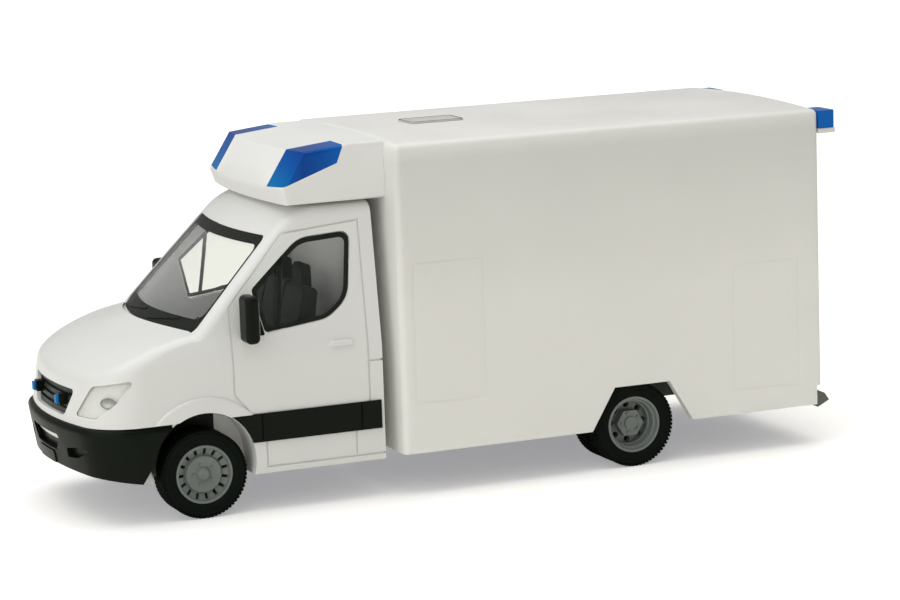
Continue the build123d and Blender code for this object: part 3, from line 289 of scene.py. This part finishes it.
# Wheels: grey plastic mouldings of pressed steel wheels, slotted in front and deep-dished behind. A dark
# disc behind each wheel closes its slots and holes from behind.
wheel_grey, _ = plastic(
    "wheel_grey_plastic", (0.165, 0.184, 0.172), 0.36, cloud_mm=1.5, shade=0.07, grain=0.05,
)
paint_pair("front_rim", wheel_grey)
paint_pair("rear_rim", wheel_grey)
back_profile = [(0, 0.65), (0.2, 1.5), (0, 2.28), (-0.1, 2.28), (0.1, 1.5), (-0.1, 0.65)]
for axle, web_back in (("front", 1.45), ("rear", 2.7)):
    skin = bmesh.new()
    for side, hand in (("left", 1), ("right", -1)):
        low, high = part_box(axle + "_rim_" + side)
        centre = 0.5 * (Vector(low) + Vector(high))
        centre.y = (high[1] if hand > 0 else low[1]) - hand * web_back * mm
        profile = [(hand * along * mm, r * mm) for along, r in back_profile]
        lathe(skin, profile, Matrix.Translation(centre), steps=48)
    place_piece(axle + "_wheel_backs", skin, tyre_black, axle + "_wheels")


# Cab fittings: seats, dashboard and steering wheel, moulded dark and left matt, as they show dimly
# through the panes.
interior_grey, _ = plastic(
    "interior_grey_plastic", (0.012, 0.017, 0.012), 0.6, gleam=0.1, cloud_mm=1.0, shade=0.1, grain=0.3,
)
paint("cab_interior", interior_grey)
paint("steering_wheel", interior_grey)


# Cab shell: one thin white moulding with bowed bonnet, roof and doors, polished in the tool. Its many thin
# facets are shaded evenly from the way the surface round them faces.
cab_white, cab_shader = plastic(
    "cab_white_plastic", (0.765, 0.765, 0.748), 0.36, gleam=0.35, cloud_mm=6.0, shade=0.012, grain_mm=1.2,
    grain=0.01,
)
cab_shader.inputs["Coat Weight"].default_value = 0.16
cab_shader.inputs["Coat Roughness"].default_value = 0.08


def even_shading(mesh, tree, reach, cone_deg):
    """Shade a faceted skin by the way the surface faces round each corner, so that thin facets don't show."""
    golden = math.pi * (3 - math.sqrt(5))
    spots = 20
    same_way = 0.97
    own_weight = 0.01
    thin = 0.01 * mm
    disc = []
    for k in range(spots):
        out = reach * math.sqrt((k + 0.5) / spots)
        disc.append((out * math.cos(k * golden), out * math.sin(k * golden)))
    cone = math.cos(math.radians(cone_deg))
    areas = [f.area for f in mesh.polygons]
    around = [[] for _ in mesh.vertices]
    for face in mesh.polygons:
        for v in face.vertices:
            around[v].append(face.index)
    known = [[] for _ in mesh.vertices]
    shading = []
    for face in mesh.polygons:
        lead = face.normal
        longest = max((mesh.vertices[a].co - mesh.vertices[b].co).length for a, b in face.edge_keys)
        if 2 * areas[face.index] < thin * longest:
            beside_it = (i for v in face.vertices for i in around[v])
            lead = mesh.polygons[max(beside_it, key=areas.__getitem__)].normal
        for v in face.vertices:
            for way, mean in known[v]:
                if way.dot(lead) > same_way:
                    break
            else:
                way, mean = lead.copy(), lead.copy() * own_weight
                level = way.orthogonal().normalized()
                beside = way.cross(level)
                for a, b in disc:
                    above = mesh.vertices[v].co + way * reach + level * a + beside * b
                    facing = tree.ray_cast(above, -way, 2 * reach)[1]
                    if facing is not None and facing.dot(way) > cone:
                        mean += facing
                mean.normalize()
                known[v].append((way, mean))
            shading.append(mean)
    mesh.normals_split_custom_set(shading)


def smooth_copy(node, material, reach_mm=0.25, cone_deg=35):
    """Replace a CAD piece of the body by a copy of the same shape that is shaded evenly."""
    skin = joined(node)
    tree = BVHTree.FromBMesh(skin)
    piece = place_piece(node + "_smooth", skin, material, "body", 180)
    even_shading(piece.data, tree, reach_mm * mm, cone_deg)
    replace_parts(piece, node)
    return piece


smooth_copy("cab_shell", cab_white)


# Glazing: clear panes let into the shell, printed black on their edges and across the door windows. The
# prints are thin paint lying on the panes; the wipers are moulded on the screen's lower band.
clear_pane, pane_shader = plastic(
    "clear_pane", (0.975, 0.985, 0.97), 0.02, cloud_mm=5.0, shade=0.006, grain=0.003,
)
pane_shader.inputs["Transmission Weight"].default_value = 1
pane_shader.inputs["IOR"].default_value = 1.22
paint("windscreen", clear_pane)
paint_pair("side_window", clear_pane)
print_black, _ = plastic(
    "window_print_black", (0.010, 0.013, 0.010), 0.36, gleam=0.2, cloud_mm=1.0, shade=0.1,
)


def inset_corners(corners, widths):
    """The corners of an outline whose edges are each moved in by their own width."""
    lines = []
    count = len(corners)
    middle = sum((Vector(c) for c in corners), Vector((0, 0))) / count
    for i in range(count):
        a = Vector(corners[i])
        run = (Vector(corners[(i + 1) % count]) - a).normalized()
        across = Vector((-run.y, run.x))
        if across.dot(middle - a) < 0:
            across = -across
        lines.append((a + across * widths[i], run))
    inset = []
    for i in range(count):
        (a, u), (b, v) = lines[i - 1], lines[i]
        t = ((b.x - a.x) * v.y - (b.y - a.y) * v.x) / (u.x * v.y - u.y * v.x)
        inset.append(a + u * t)
    return inset


def rounded(corners, radii, per_arc=8, per_edge=14):
    """An outline whose corners are rounded, each by its own radius, as evenly numbered points."""
    count = len(corners)
    arcs = []
    for i in range(count):
        corner = Vector(corners[i])
        back = (Vector(corners[i - 1]) - corner).normalized()
        ahead = (Vector(corners[(i + 1) % count]) - corner).normalized()
        half = 0.5 * back.angle(ahead)
        reach = radii[i] / math.tan(half)
        centre = corner + (back + ahead).normalized() * radii[i] / math.sin(half)
        start = corner + back * reach - centre
        sweep = start.angle_signed(corner + ahead * reach - centre)
        arcs.append([centre + Matrix.Rotation(-sweep * k / per_arc, 2) @ start for k in range(per_arc + 1)])
    points = []
    for i in range(count):
        points += arcs[i]
        last, first = arcs[i][-1], arcs[(i + 1) % count][0]
        points += [last.lerp(first, k / per_edge) for k in range(1, per_edge)]
    return points


def surface_of(node):
    """A CAD piece's skin as a tree that rays can be laid on."""
    return BVHTree.FromBMesh(joined(node))


def laid(tree, point, towards, middle):
    """Where a straight throw meets the surface; a miss is drawn to the middle."""
    draw = 0.01
    hit = tree.ray_cast(point, towards)[0]
    while hit is None:
        point = point.lerp(middle, draw)
        hit = tree.ray_cast(point, towards)[0]
    return hit


def laid_skin(tree, rows, closed, to_space, towards, lift, thickness):
    """A thin closed skin lying on a surface. Rows run side by side, and each is a loop where closed."""
    same_point = 0.0001 * mm
    skin = bmesh.new()
    every = [p for row in rows for p in row]
    middle = to_space(sum(every, Vector((0, 0))) / len(every))
    tops, feet = [], []
    for row in rows:
        spots = [laid(tree, to_space(p), towards, middle) for p in row]
        tops.append([skin.verts.new(s - towards * (lift + thickness)) for s in spots])
        feet.append([skin.verts.new(s - towards * lift) for s in spots])
    count = len(rows[0])
    for i in range(count if closed else count - 1):
        j = (i + 1) % count
        for a in range(len(rows) - 1):
            skin.faces.new((tops[a][i], tops[a][j], tops[a + 1][j], tops[a + 1][i]))
            skin.faces.new((feet[a][i], feet[a + 1][i], feet[a + 1][j], feet[a][j]))
        skin.faces.new((tops[0][i], feet[0][i], feet[0][j], tops[0][j]))
        skin.faces.new((tops[-1][i], tops[-1][j], feet[-1][j], feet[-1][i]))
    if not closed:
        for a in range(len(rows) - 1):
            for i in (0, count - 1):
                skin.faces.new((tops[a][i], tops[a + 1][i], feet[a + 1][i], feet[a][i]))
    bmesh.ops.remove_doubles(skin, verts=skin.verts, dist=same_point)
    return skin


def between(outer, inner, rows=3):
    """Loops that fill the border from one outline to another inside it."""
    return [[a.lerp(b, k / rows) for a, b in zip(outer, inner)] for k in range(rows + 1)]


def along_line(start, end, width, count=16):
    """The two edges of a straight strip."""
    start, end = Vector(start) * mm, Vector(end) * mm
    run = end - start
    across = 0.5 * width * mm * Vector((-run.y, run.x)).normalized()
    return [[start.lerp(end, k / (count - 1)) + across * s for k in range(count)] for s in (-1, 1)]


print_gap = 0.04 * mm
print_lift = 0.004 * mm
print_thickness = 0.012 * mm
screen_tree = surface_of("windscreen")
screen_corners = [
    (y * mm, z * mm) for y, z in ((-10.1, 16.55), (10.1, 16.55), (8.9, 24.7), (-8.9, 24.7))
]
screen_bands = [1.15 * mm, 0.45 * mm, 0.85 * mm, 0.45 * mm]
screen_radius, clear_radius = 0.63 * mm, 0.75 * mm
screen_edge = rounded(inset_corners(screen_corners, [print_gap] * 4), [screen_radius] * 4)
screen_clear = rounded(inset_corners(screen_corners, screen_bands), [clear_radius] * 4)
front_throw = 60 * mm
side_throw = 30 * mm


def ahead_of_cab(p):
    """A point of the front view, brought out ahead of the cab."""
    return Vector((front_throw, p.x, p.y))


def beside_cab(hand):
    """The way to bring a point of the side view out beside the cab, on one hand or the other."""
    return lambda p: Vector((p.x, hand * side_throw, p.y))


backward = Vector((-1, 0, 0))
border = between(screen_edge, screen_clear)
skin = laid_skin(screen_tree, border, True, ahead_of_cab, backward, print_lift, print_thickness)
place_piece("windscreen_print", skin, print_black, "body")
wiper_width = 0.13
wiper_lift = print_lift + print_thickness
wiper_thickness = 0.1 * mm
for number, (start, end) in enumerate((((-6.6, 16.95), (-1.0, 17.5)), ((0.6, 16.95), (6.4, 17.6)))):
    blade = along_line(start, end, wiper_width)
    skin = laid_skin(screen_tree, blade, False, ahead_of_cab, backward, wiper_lift, wiper_thickness)
    place_piece("wiper_blade_%d" % (number + 1), skin, print_black, "body")

front_axle_x = 25.95
side_corners = [
    ((front_axle_x + x) * mm, z * mm)
    for x, z in ((-5.2, 20.2), (-6.2, 16.2), (-12.3, 16.95), (-14.4, 18.6), (-15.1, 24.7), (-10.0, 24.4))
]
side_radii = [0.5 * mm, 0.5 * mm, 3.0 * mm, 3.0 * mm, 0.9 * mm, 3.0 * mm]
side_bands = [0.42 * mm, 0.45 * mm, 0.45 * mm, 0.5 * mm, 0.55 * mm, 0.5 * mm]
side_edge = rounded(inset_corners(side_corners, [print_gap] * 6), [r - print_gap for r in side_radii])
clear_cut = 0.4 * mm
side_clear = rounded(inset_corners(side_corners, side_bands), [r - clear_cut for r in side_radii])
divider = along_line((front_axle_x - 8.33, 23.85), (front_axle_x - 7.48, 16.15), 0.36)
for side, hand in (("left", 1), ("right", -1)):
    side_tree = surface_of("side_window_" + side)
    inward = Vector((0, -hand, 0))
    border = between(side_edge, side_clear)
    skin = laid_skin(side_tree, border, True, beside_cab(hand), inward, print_lift, print_thickness)
    place_piece("side_window_print_" + side, skin, print_black, "body")
    skin = laid_skin(side_tree, divider, False, beside_cab(hand), inward, print_lift, print_thickness)
    place_piece("side_window_bar_" + side, skin, print_black, "body")


# Grille: a dark bowed plate of cross slats in the nose, moulded matt. The place for a badge in its middle
# is left bare.
grille_grey, _ = plastic("grille_grey_plastic", (0.026, 0.032, 0.028), 0.45, gleam=0.3, cloud_mm=1.0)
paint("grille", grille_grey)


# Headlamps: clear covers let into the corners of the nose, over a pale housing with an oval reflector. A
# thin pale seal lies over the gap round each cover.
clear_lens, lens_shader = plastic(
    "clear_lens", (0.97, 0.97, 0.95), 0.04, cloud_mm=1.2, shade=0.01, grain=0.01,
)
lens_shader.inputs["Transmission Weight"].default_value = 1
lens_shader.inputs["IOR"].default_value = 1.3
paint_pair("headlamp", clear_lens)
housing_pale, _ = plastic(
    "lamp_housing_pale", (0.80, 0.80, 0.765), 0.35, cloud_mm=1.0, shade=0.04, grain=0.05,
)
reflector_silver, silver_shader = plastic("lamp_reflector_silver", (0.45, 0.46, 0.44), 0.22, cloud_mm=0.6)
silver_shader.inputs["Metallic"].default_value = 0.35
bumper_top_z = 9.0
lamp_corners = [
    (x * mm, (bumper_top_z + z) * mm)
    for x, z in ((-3.05, 0.75), (-0.05, 0.75), (1.9, 2.15), (3.7, 4.4), (-0.7, 3.75))
]
lamp_radii = [0.3 * mm, 0.6 * mm, 1.0 * mm, 0.3 * mm, 1.2 * mm]
lamp_reach = 0.05 * mm
lamp_throw = 10 * mm
nose_x, nose_y = 37.15 * mm, 11.45 * mm
housing_depth = 0.42 * mm
housing_thickness = 0.04 * mm
seal_half = 0.075 * mm
lamp_edge = rounded(inset_corners(lamp_corners, [-lamp_reach] * 5), [r + lamp_reach for r in lamp_radii])
seal_outer = rounded(inset_corners(lamp_corners, [-seal_half] * 5), [r + seal_half for r in lamp_radii])
seal_inner = rounded(inset_corners(lamp_corners, [seal_half] * 5), [r - seal_half for r in lamp_radii])


def filled(outline, rings=5):
    """Loops that fill an outline to its middle."""
    middle = sum(outline, Vector((0, 0))) / len(outline)
    return [[p.lerp(middle, k / rings) for p in outline] for k in range(rings + 1)]


reflector_place = Vector((1.12 * mm, (bumper_top_z + 2.25) * mm))
reflector_sink = 0.1
reflector_half_width, reflector_half_height = 0.82, 0.52
reflector_bowl = [
    (-0.04, 1.0), (0.02, 0.94), (-0.04, 0.88), (-0.16, 0.6),
    (-0.2, 0.05), (-0.26, 0.05), (-0.22, 0.66), (-0.1, 0.98),
]
for side, hand in (("left", 1), ("right", -1)):
    lamp_tree = surface_of("headlamp_" + side)
    outward = Vector((1, hand, 0)).normalized()
    across = Vector((-1, hand, 0)).normalized()
    corner = Vector((nose_x, hand * nose_y, 0))

    def before_lamp(p):
        """A point of the lamp's outline, brought out before the corner of the nose."""
        return corner + across * p.x + Vector((0, 0, p.y)) + outward * lamp_throw

    skin = laid_skin(
        lamp_tree, filled(lamp_edge), True, before_lamp, -outward, -housing_depth, housing_thickness,
    )
    place_piece("headlamp_housing_" + side, skin, housing_pale, "body")
    nose = joined("cab_shell")
    nose.from_mesh(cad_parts["headlamp_" + side].data)
    nose_tree = BVHTree.FromBMesh(nose)
    skin = laid_skin(
        nose_tree, [seal_outer, seal_inner], True, before_lamp, -outward, print_lift, print_thickness,
    )
    place_piece("headlamp_seal_" + side, skin, housing_pale, "body")
    cover = laid(lamp_tree, before_lamp(reflector_place), -outward, corner)
    bowl_place = Matrix.Translation(cover - outward * reflector_sink * mm)
    wide, tall = across * reflector_half_width, Vector((0, 0, 1)) * reflector_half_height
    bowl_frame = Matrix((wide, outward, tall)).transposed().to_4x4()
    profile = [(depth * mm, r * mm) for depth, r in reflector_bowl]
    skin = bmesh.new()
    lathe(skin, profile, bowl_place @ bowl_frame, steps=40)
    place_piece("headlamp_reflector_" + side, skin, reflector_silver, "body")


# Bumper, rubbing bands, mirrors and flasher blocks: near-black satin mouldings pressed into the shell. The
# bumper's air slot shows a pale strip of what lies behind, and a dark sheet lines the front of each arch.
black_plastic, _ = plastic(
    "black_satin_plastic", (0.0045, 0.0075, 0.0045), 0.34, gleam=0.1, cloud_mm=1.5, shade=0.1, grain=0.08,
)
smooth_copy("front_bumper", black_plastic)
paint_pair("side_band", black_plastic)
paint_pair("mirror", black_plastic)
paint_pair("flasher_block", black_plastic)
strip_lift, strip_thickness = 0.01 * mm, 0.05 * mm
strip = along_line((-3.5, 7.28), (3.75, 7.28), width=0.42)
skin = laid_skin(
    surface_of("front_bumper"), strip, False, ahead_of_cab, backward, strip_lift, strip_thickness,
)
place_piece("air_slot_strip", skin, housing_pale, "body")

arch_x = front_axle_x * mm
arch_z = 5.0 * mm
liner_outer = 4.73 * mm
liner_inner = 4.68 * mm
liner_steps = 28
liner_from, liner_to = math.radians(-6), math.radians(115)
liner_near, liner_far = 7.99 * mm, 11.44 * mm
plate_foot = 6.3 * mm
liner_section = [
    (liner_outer, liner_near), (liner_outer, liner_far), (liner_inner, liner_far), (liner_inner, liner_near),
]
for side, hand in (("left", 1), ("right", -1)):
    skin = bmesh.new()
    rims = []
    for k in range(liner_steps + 1):
        turn = liner_from + (liner_to - liner_from) * k / liner_steps
        way = Vector((math.cos(turn), 0, math.sin(turn)))
        middle = Vector((arch_x, 0, arch_z))
        rims.append([
            skin.verts.new(middle + way * r + Vector((0, hand * y, 0))) for r, y in liner_section
        ])
    for here, there in zip(rims, rims[1:]):
        for i in range(len(liner_section)):
            j = (i + 1) % len(liner_section)
            skin.faces.new((here[i], here[j], there[j], there[i]))
    skin.faces.new(rims[0])
    skin.faces.new(list(reversed(rims[-1])))
    arc = [v[3].co.copy() for v in rims if v[3].co.z > plate_foot]
    outline = arc + [Vector((end.x, end.y, plate_foot)) for end in (arc[-1], arc[0])]
    front = [skin.verts.new(p) for p in outline]
    back = [skin.verts.new(p + Vector((0, hand * (liner_outer - liner_inner), 0))) for p in outline]
    skin.faces.new(front)
    skin.faces.new(list(reversed(back)))
    for i in range(len(front)):
        j = (i + 1) % len(front)
        skin.faces.new((front[i], front[j], back[j], back[i]))
    place_piece("front_arch_liner_" + side, skin, black_plastic, "body")

foot_corners = [
    ((front_axle_x + x) * mm, z * mm)
    for x, z in ((-4.55, 19.5), (-5.33, 19.55), (-6.14, 16.12), (-5.0, 16.0))
]
foot_radius, foot_thickness = 0.12 * mm, 0.06 * mm
foot_rows = filled(rounded(foot_corners, [foot_radius] * 4), rings=3)
shell_tree = surface_of("cab_shell")
for side, hand in (("left", 1), ("right", -1)):
    inward = Vector((0, -hand, 0))
    skin = laid_skin(shell_tree, foot_rows, True, beside_cab(hand), inward, 0, foot_thickness)
    place_piece("mirror_foot_" + side, skin, black_plastic, "body")

mirror_silver, mirror_shader = plastic(
    "mirror_silver", (0.70, 0.71, 0.70), 0.07, cloud_mm=2.0, shade=0.02, grain=0.01,
)
mirror_shader.inputs["Metallic"].default_value = 1
mirror_half_width, mirror_half_height, mirror_border = 1.2 * mm, 2.15 * mm, 0.34 * mm
glass_radius = 0.25 * mm
mirror_throw = 10 * mm
for side, hand in (("left", 1), ("right", -1)):
    low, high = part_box("mirror_" + side)
    mirror_y = (high[1] - mirror_half_width) if hand > 0 else (low[1] + mirror_half_width)
    mirror_z = 0.5 * (low[2] + high[2])
    glass_y, glass_z = mirror_half_width - mirror_border, mirror_half_height - mirror_border
    glass_corners = [
        (mirror_y + s * glass_y, mirror_z + t * glass_z) for s, t in ((-1, -1), (1, -1), (1, 1), (-1, 1))
    ]
    glass_rows = filled(rounded(glass_corners, [glass_radius] * 4), rings=2)
    behind = low[0] - mirror_throw

    def behind_mirror(p):
        """A point of the mirror's back view, brought out behind it."""
        return Vector((behind, p.x, p.y))

    skin = laid_skin(
        surface_of("mirror_" + side), glass_rows, True, behind_mirror, -backward, print_lift, print_thickness,
    )
    place_piece("mirror_glass_" + side, skin, mirror_silver, "body")


# Load box: one tall hollow moulding in a white that lets a little light through, with a satin skin. A ramp
# over its height paints shade into the white: lightest low down and a shade greyer just below the eaves.
box_white, box_shader = plastic(
    "box_white_plastic", (0.84, 0.835, 0.80), 0.42, gleam=0.3, cloud_mm=9.0, shade=0.014, grain=0.05,
)
box_shader.inputs["Subsurface Weight"].default_value = 0.5
box_shader.inputs["Subsurface Radius"].default_value = (1.0, 0.97, 0.85)
box_shader.inputs["Subsurface Scale"].default_value = 0.5 * mm


def ramp_along(tree, axis, start, end, stops):
    """A colour that runs along one axis of the part, from stops of (share of the way, colour)."""
    split = tree.nodes.new("ShaderNodeSeparateXYZ")
    tree.links.new(tree.nodes["Texture Coordinate"].outputs["Object"], split.inputs["Vector"])
    span = tree.nodes.new("ShaderNodeMapRange")
    span.inputs["From Min"].default_value = start
    span.inputs["From Max"].default_value = end
    tree.links.new(split.outputs[axis], span.inputs["Value"])
    ramp = tree.nodes.new("ShaderNodeValToRGB")
    for share, colour in stops:
        ramp.color_ramp.elements.new(share).color = (*colour, 1)
    ramp.color_ramp.elements.remove(ramp.color_ramp.elements[0])
    ramp.color_ramp.elements.remove(ramp.color_ramp.elements[-1])
    tree.links.new(span.outputs["Result"], ramp.inputs["Fac"])
    return ramp.outputs["Color"]


box_tree = box_white.node_tree
roof_z = 34 * mm
# Painted shade: the box white is lightest low down and greyer just below the eaves.
painted_shade_levels = ((0.12, 1.0), (0.5, 0.96), (0.9, 0.83), (0.955, 0.97))
painted_shade_by_height = ramp_along(box_tree, "Z", 0, roof_z, [(share, [level] * 3) for share, level in painted_shade_levels])
painted_shade_dim = box_tree.nodes.new("ShaderNodeMix")
painted_shade_dim.data_type = "RGBA"
painted_shade_dim.blend_type = "MULTIPLY"
painted_shade_dim.inputs["Factor"].default_value = 1
box_tree.links.new(box_tree.nodes["Color Ramp"].outputs["Color"], painted_shade_dim.inputs["A"])
box_tree.links.new(painted_shade_by_height, painted_shade_dim.inputs["B"])
box_tree.links.new(painted_shade_dim.outputs["Result"], box_shader.inputs["Base Color"])
box = smooth_copy("box_shell", box_white)
side_y = 12.72 * mm
line_depth = 0.1 * mm
line_left = 0.03 * mm
line_slack = 0.004 * mm
lines_back, lines_front = -35 * mm, 6.5 * mm
lines_foot, lines_top = 4.5 * mm, 24 * mm
for vertex in box.data.vertices:
    x, y, z = vertex.co
    in_line = abs(abs(y) - (side_y - line_depth)) < line_slack
    if in_line and lines_back < x < lines_front and lines_foot < z < lines_top:
        vertex.co.y = math.copysign(side_y - line_left, y)


# Roof hatch: a pale grey insert in the roof, with a dark strip round its lid that paints the shade of the gap
# between lid and roof. The lid is lowered by the strip's room, so that nothing stands above the CAD piece.
hatch_grey, _ = plastic("hatch_grey_plastic", (0.60, 0.60, 0.55), 0.5, gleam=0.3, cloud_mm=1.5)
hatch = round_off("roof_hatch", hatch_grey, edge_mm=0.05)
low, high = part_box("roof_hatch")
gap_shade_room = print_lift + 2 * print_thickness
for vertex in hatch.data.vertices:
    vertex.co.z = min(vertex.co.z, high[2] - gap_shade_room)
hatch_corners = [(low[0], low[1]), (high[0], low[1]), (high[0], high[1]), (low[0], high[1])]
outer_inset, outer_radius = 0.06 * mm, 0.44 * mm
inner_inset, inner_radius = 0.19 * mm, 0.31 * mm
lid_outer = rounded(inset_corners(hatch_corners, [outer_inset] * 4), [outer_radius] * 4)
lid_inner = rounded(inset_corners(hatch_corners, [inner_inset] * 4), [inner_radius] * 4)
roof_throw = 50 * mm


def above_roof(p):
    """A point of the plan, brought up above the roof."""
    return Vector((p.x, p.y, roof_throw))


# Painted shade: a dark strip round the lid stands for the shadow in the gap round it.
gap_shade_black, _ = plastic("painted_gap_shade", (0.035, 0.04, 0.035), 0.6, gleam=0.2, cloud_mm=0.8)
skin = laid_skin(
    surface_of("roof_hatch"), between(lid_outer, lid_inner, rows=1), True, above_roof, Vector((0, 0, -1)),
    -2 * print_thickness, print_thickness,
)
place_piece("hatch_gap_shade", skin, gap_shade_black, "body")


# Roof pod: the bowed white fairing that carries the front beacons over the cab. It is a moulding of its own,
# a shade lighter than the cab and satin where the cab is polished.
pod_white, _ = plastic(
    "pod_white_plastic", (0.80, 0.80, 0.785), 0.6, gleam=0.12, cloud_mm=4.0, shade=0.01, grain_mm=1.2,
    grain=0.01,
)
smooth_copy("roof_pod", pod_white, reach_mm=0.9, cone_deg=50)


# Beacons and flashers: deep blue lenses with sharp facets. Their blue runs from front to back with painted
# light, lighter at both ends, as where a clear lens gathers the light.
blue_lens, blue_shader = plastic(
    "blue_lens", (0.0004, 0.092, 0.40), 0.14, gleam=0.05, cloud_mm=1.5, shade=0.1, grain=0.01,
)
blue_shader.inputs["Coat Weight"].default_value = 0.15
blue_shader.inputs["Coat Roughness"].default_value = 0.05
blue_tree = blue_lens.node_tree
low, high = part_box("front_beacon_left")
# Painted light: the lens blue is lighter at the front and back ends and deeper between them.
blue_with_painted_light_stops = (
    (0.05, (0.001, 0.115, 0.46)), (0.32, (0.0004, 0.075, 0.36)), (0.62, (0.0002, 0.055, 0.30)),
    (0.78, (0.001, 0.09, 0.38)), (0.97, (0.002, 0.16, 0.43)),
)
painted_light_by_depth = ramp_along(blue_tree, "X", low[0], high[0], blue_with_painted_light_stops)
blue_tree.links.new(painted_light_by_depth, blue_shader.inputs["Base Color"])
for lens, lens_edge in (("front_beacon", 0.16), ("rear_beacon", 0.08), ("flasher_lens", 0.08)):
    for side in ("left", "right"):
        round_off(lens + "_" + side, blue_lens, edge_mm=lens_edge)


# Tail lamps: small clear red lenses let in low in the back of the box. They stand out by less than a tenth
# of a millimetre.
red_lens, red_shader = plastic("red_lens", (0.45, 0.010, 0.010), 0.1, cloud_mm=1.0)
red_shader.inputs["Transmission Weight"].default_value = 0.2
lens_stand = 0.08 * mm
for side in ("left", "right"):
    lens = round_off("tail_lamp_" + side, red_lens, edge_mm=0.05)
    wall_x = max(v.co.x for v in lens.data.vertices)
    for vertex in lens.data.vertices:
        vertex.co.x = max(vertex.co.x, wall_x - lens_stand)


# Studio: a pale floor that keeps the soft shadow, a broad key from above, a fill from the front and an even
# white surround.
floor_half = 2.0
floor_corners = [(s * floor_half, t * floor_half, 0) for s, t in ((-1, -1), (1, -1), (1, 1), (-1, 1))]
floor_mesh = bpy.data.meshes.new("studio_floor")
floor_mesh.from_pydata(floor_corners, [], [(0, 1, 2, 3)])
floor = bpy.data.objects.new("studio_floor", floor_mesh)
bpy.context.scene.collection.objects.link(floor)
floor_paint, floor_shader = plastic(
    "floor_white", (0.95, 0.94, 0.88), 0.9, gleam=0, cloud_mm=60, shade=0.004, grain=0,
)
floor_mesh.materials.append(floor_paint)
floor_tree = floor_paint.node_tree
floor_path = floor_tree.nodes.new("ShaderNodeLightPath")
floor_glow = floor_tree.nodes.new("ShaderNodeEmission")
floor_glow.inputs["Color"].default_value = (0.31, 0.31, 0.325, 1)
floor_glow.inputs["Strength"].default_value = 1
floor_none = floor_tree.nodes.new("ShaderNodeEmission")
floor_none.inputs["Strength"].default_value = 0
floor_pick = floor_tree.nodes.new("ShaderNodeMixShader")
floor_sum = floor_tree.nodes.new("ShaderNodeAddShader")
floor_tree.links.new(floor_path.outputs["Is Camera Ray"], floor_pick.inputs["Fac"])
floor_tree.links.new(floor_none.outputs[0], floor_pick.inputs[1])
floor_tree.links.new(floor_glow.outputs[0], floor_pick.inputs[2])
floor_tree.links.new(floor_shader.outputs[0], floor_sum.inputs[0])
floor_tree.links.new(floor_pick.outputs[0], floor_sum.inputs[1])
floor_tree.links.new(floor_sum.outputs[0], floor_tree.nodes["Material Output"].inputs["Surface"])

scene = bpy.context.scene
scene.view_settings.view_transform = "Standard"
world = bpy.data.worlds.new("studio_surround")
scene.world = world
world.use_nodes = True
sky = world.node_tree
sky_light = sky.nodes["Background"]
sky_light.inputs["Color"].default_value = (1.0, 0.99, 0.95, 1)
sky_light.inputs["Strength"].default_value = 0.27
sky_seen = sky.nodes.new("ShaderNodeBackground")
sky_seen.inputs["Color"].default_value = (1, 1, 1, 1)
sky_path = sky.nodes.new("ShaderNodeLightPath")
sky_either = sky.nodes.new("ShaderNodeMath")
sky_either.operation = "MAXIMUM"
sky_pick = sky.nodes.new("ShaderNodeMixShader")
sky.links.new(sky_path.outputs["Is Camera Ray"], sky_either.inputs[0])
sky.links.new(sky_path.outputs["Is Transmission Ray"], sky_either.inputs[1])
sky.links.new(sky_either.outputs[0], sky_pick.inputs["Fac"])
sky.links.new(sky_light.outputs[0], sky_pick.inputs[1])
sky.links.new(sky_seen.outputs[0], sky_pick.inputs[2])
sky.links.new(sky_pick.outputs[0], sky.nodes["World Output"].inputs["Surface"])


def soft_sun(name, strength, spread_deg, source):
    """A broad even light that comes from one side."""
    light = bpy.data.lights.new(name, "SUN")
    light.energy = strength
    light.angle = math.radians(spread_deg)
    lamp = bpy.data.objects.new(name, light)
    lamp.rotation_euler = Vector(source).to_track_quat("Z", "Y").to_euler()
    scene.collection.objects.link(lamp)


soft_sun("key_softbox", 1.75, 75, (0.02, -0.13, 1.0))
soft_sun("front_fill", 1.3, 80, (1.0, 0.58, 0.5))


# Camera: a long lens at the left front corner, low and turned a little, as the photo was taken. Its place
# and angles are those of the camera that was fitted to the photo.
azimuth = math.radians(157.308)
elevation = math.radians(9.684)
roll = math.radians(-1.979)
camera_place = Vector((115.01, 281.88, 67.57)) * mm
flat = math.cos(elevation)
back = Vector((math.sin(azimuth) * flat, -math.cos(azimuth) * flat, math.sin(elevation)))
level = Vector((0, 0, 1)).cross(back).normalized()
upright = back.cross(level)
right = math.cos(roll) * level + math.sin(roll) * upright
up = math.cos(roll) * upright - math.sin(roll) * level
camera_data = bpy.data.cameras.new("photo_camera")
camera_data.sensor_width = 36
camera_data.lens = 130.53
camera_data.clip_start = 0.01
camera_data.clip_end = 20
camera = bpy.data.objects.new("photo_camera", camera_data)
camera.matrix_world = Matrix.Translation(camera_place) @ Matrix((right, up, back)).transposed().to_4x4()
scene.collection.objects.link(camera)
scene.camera = camera
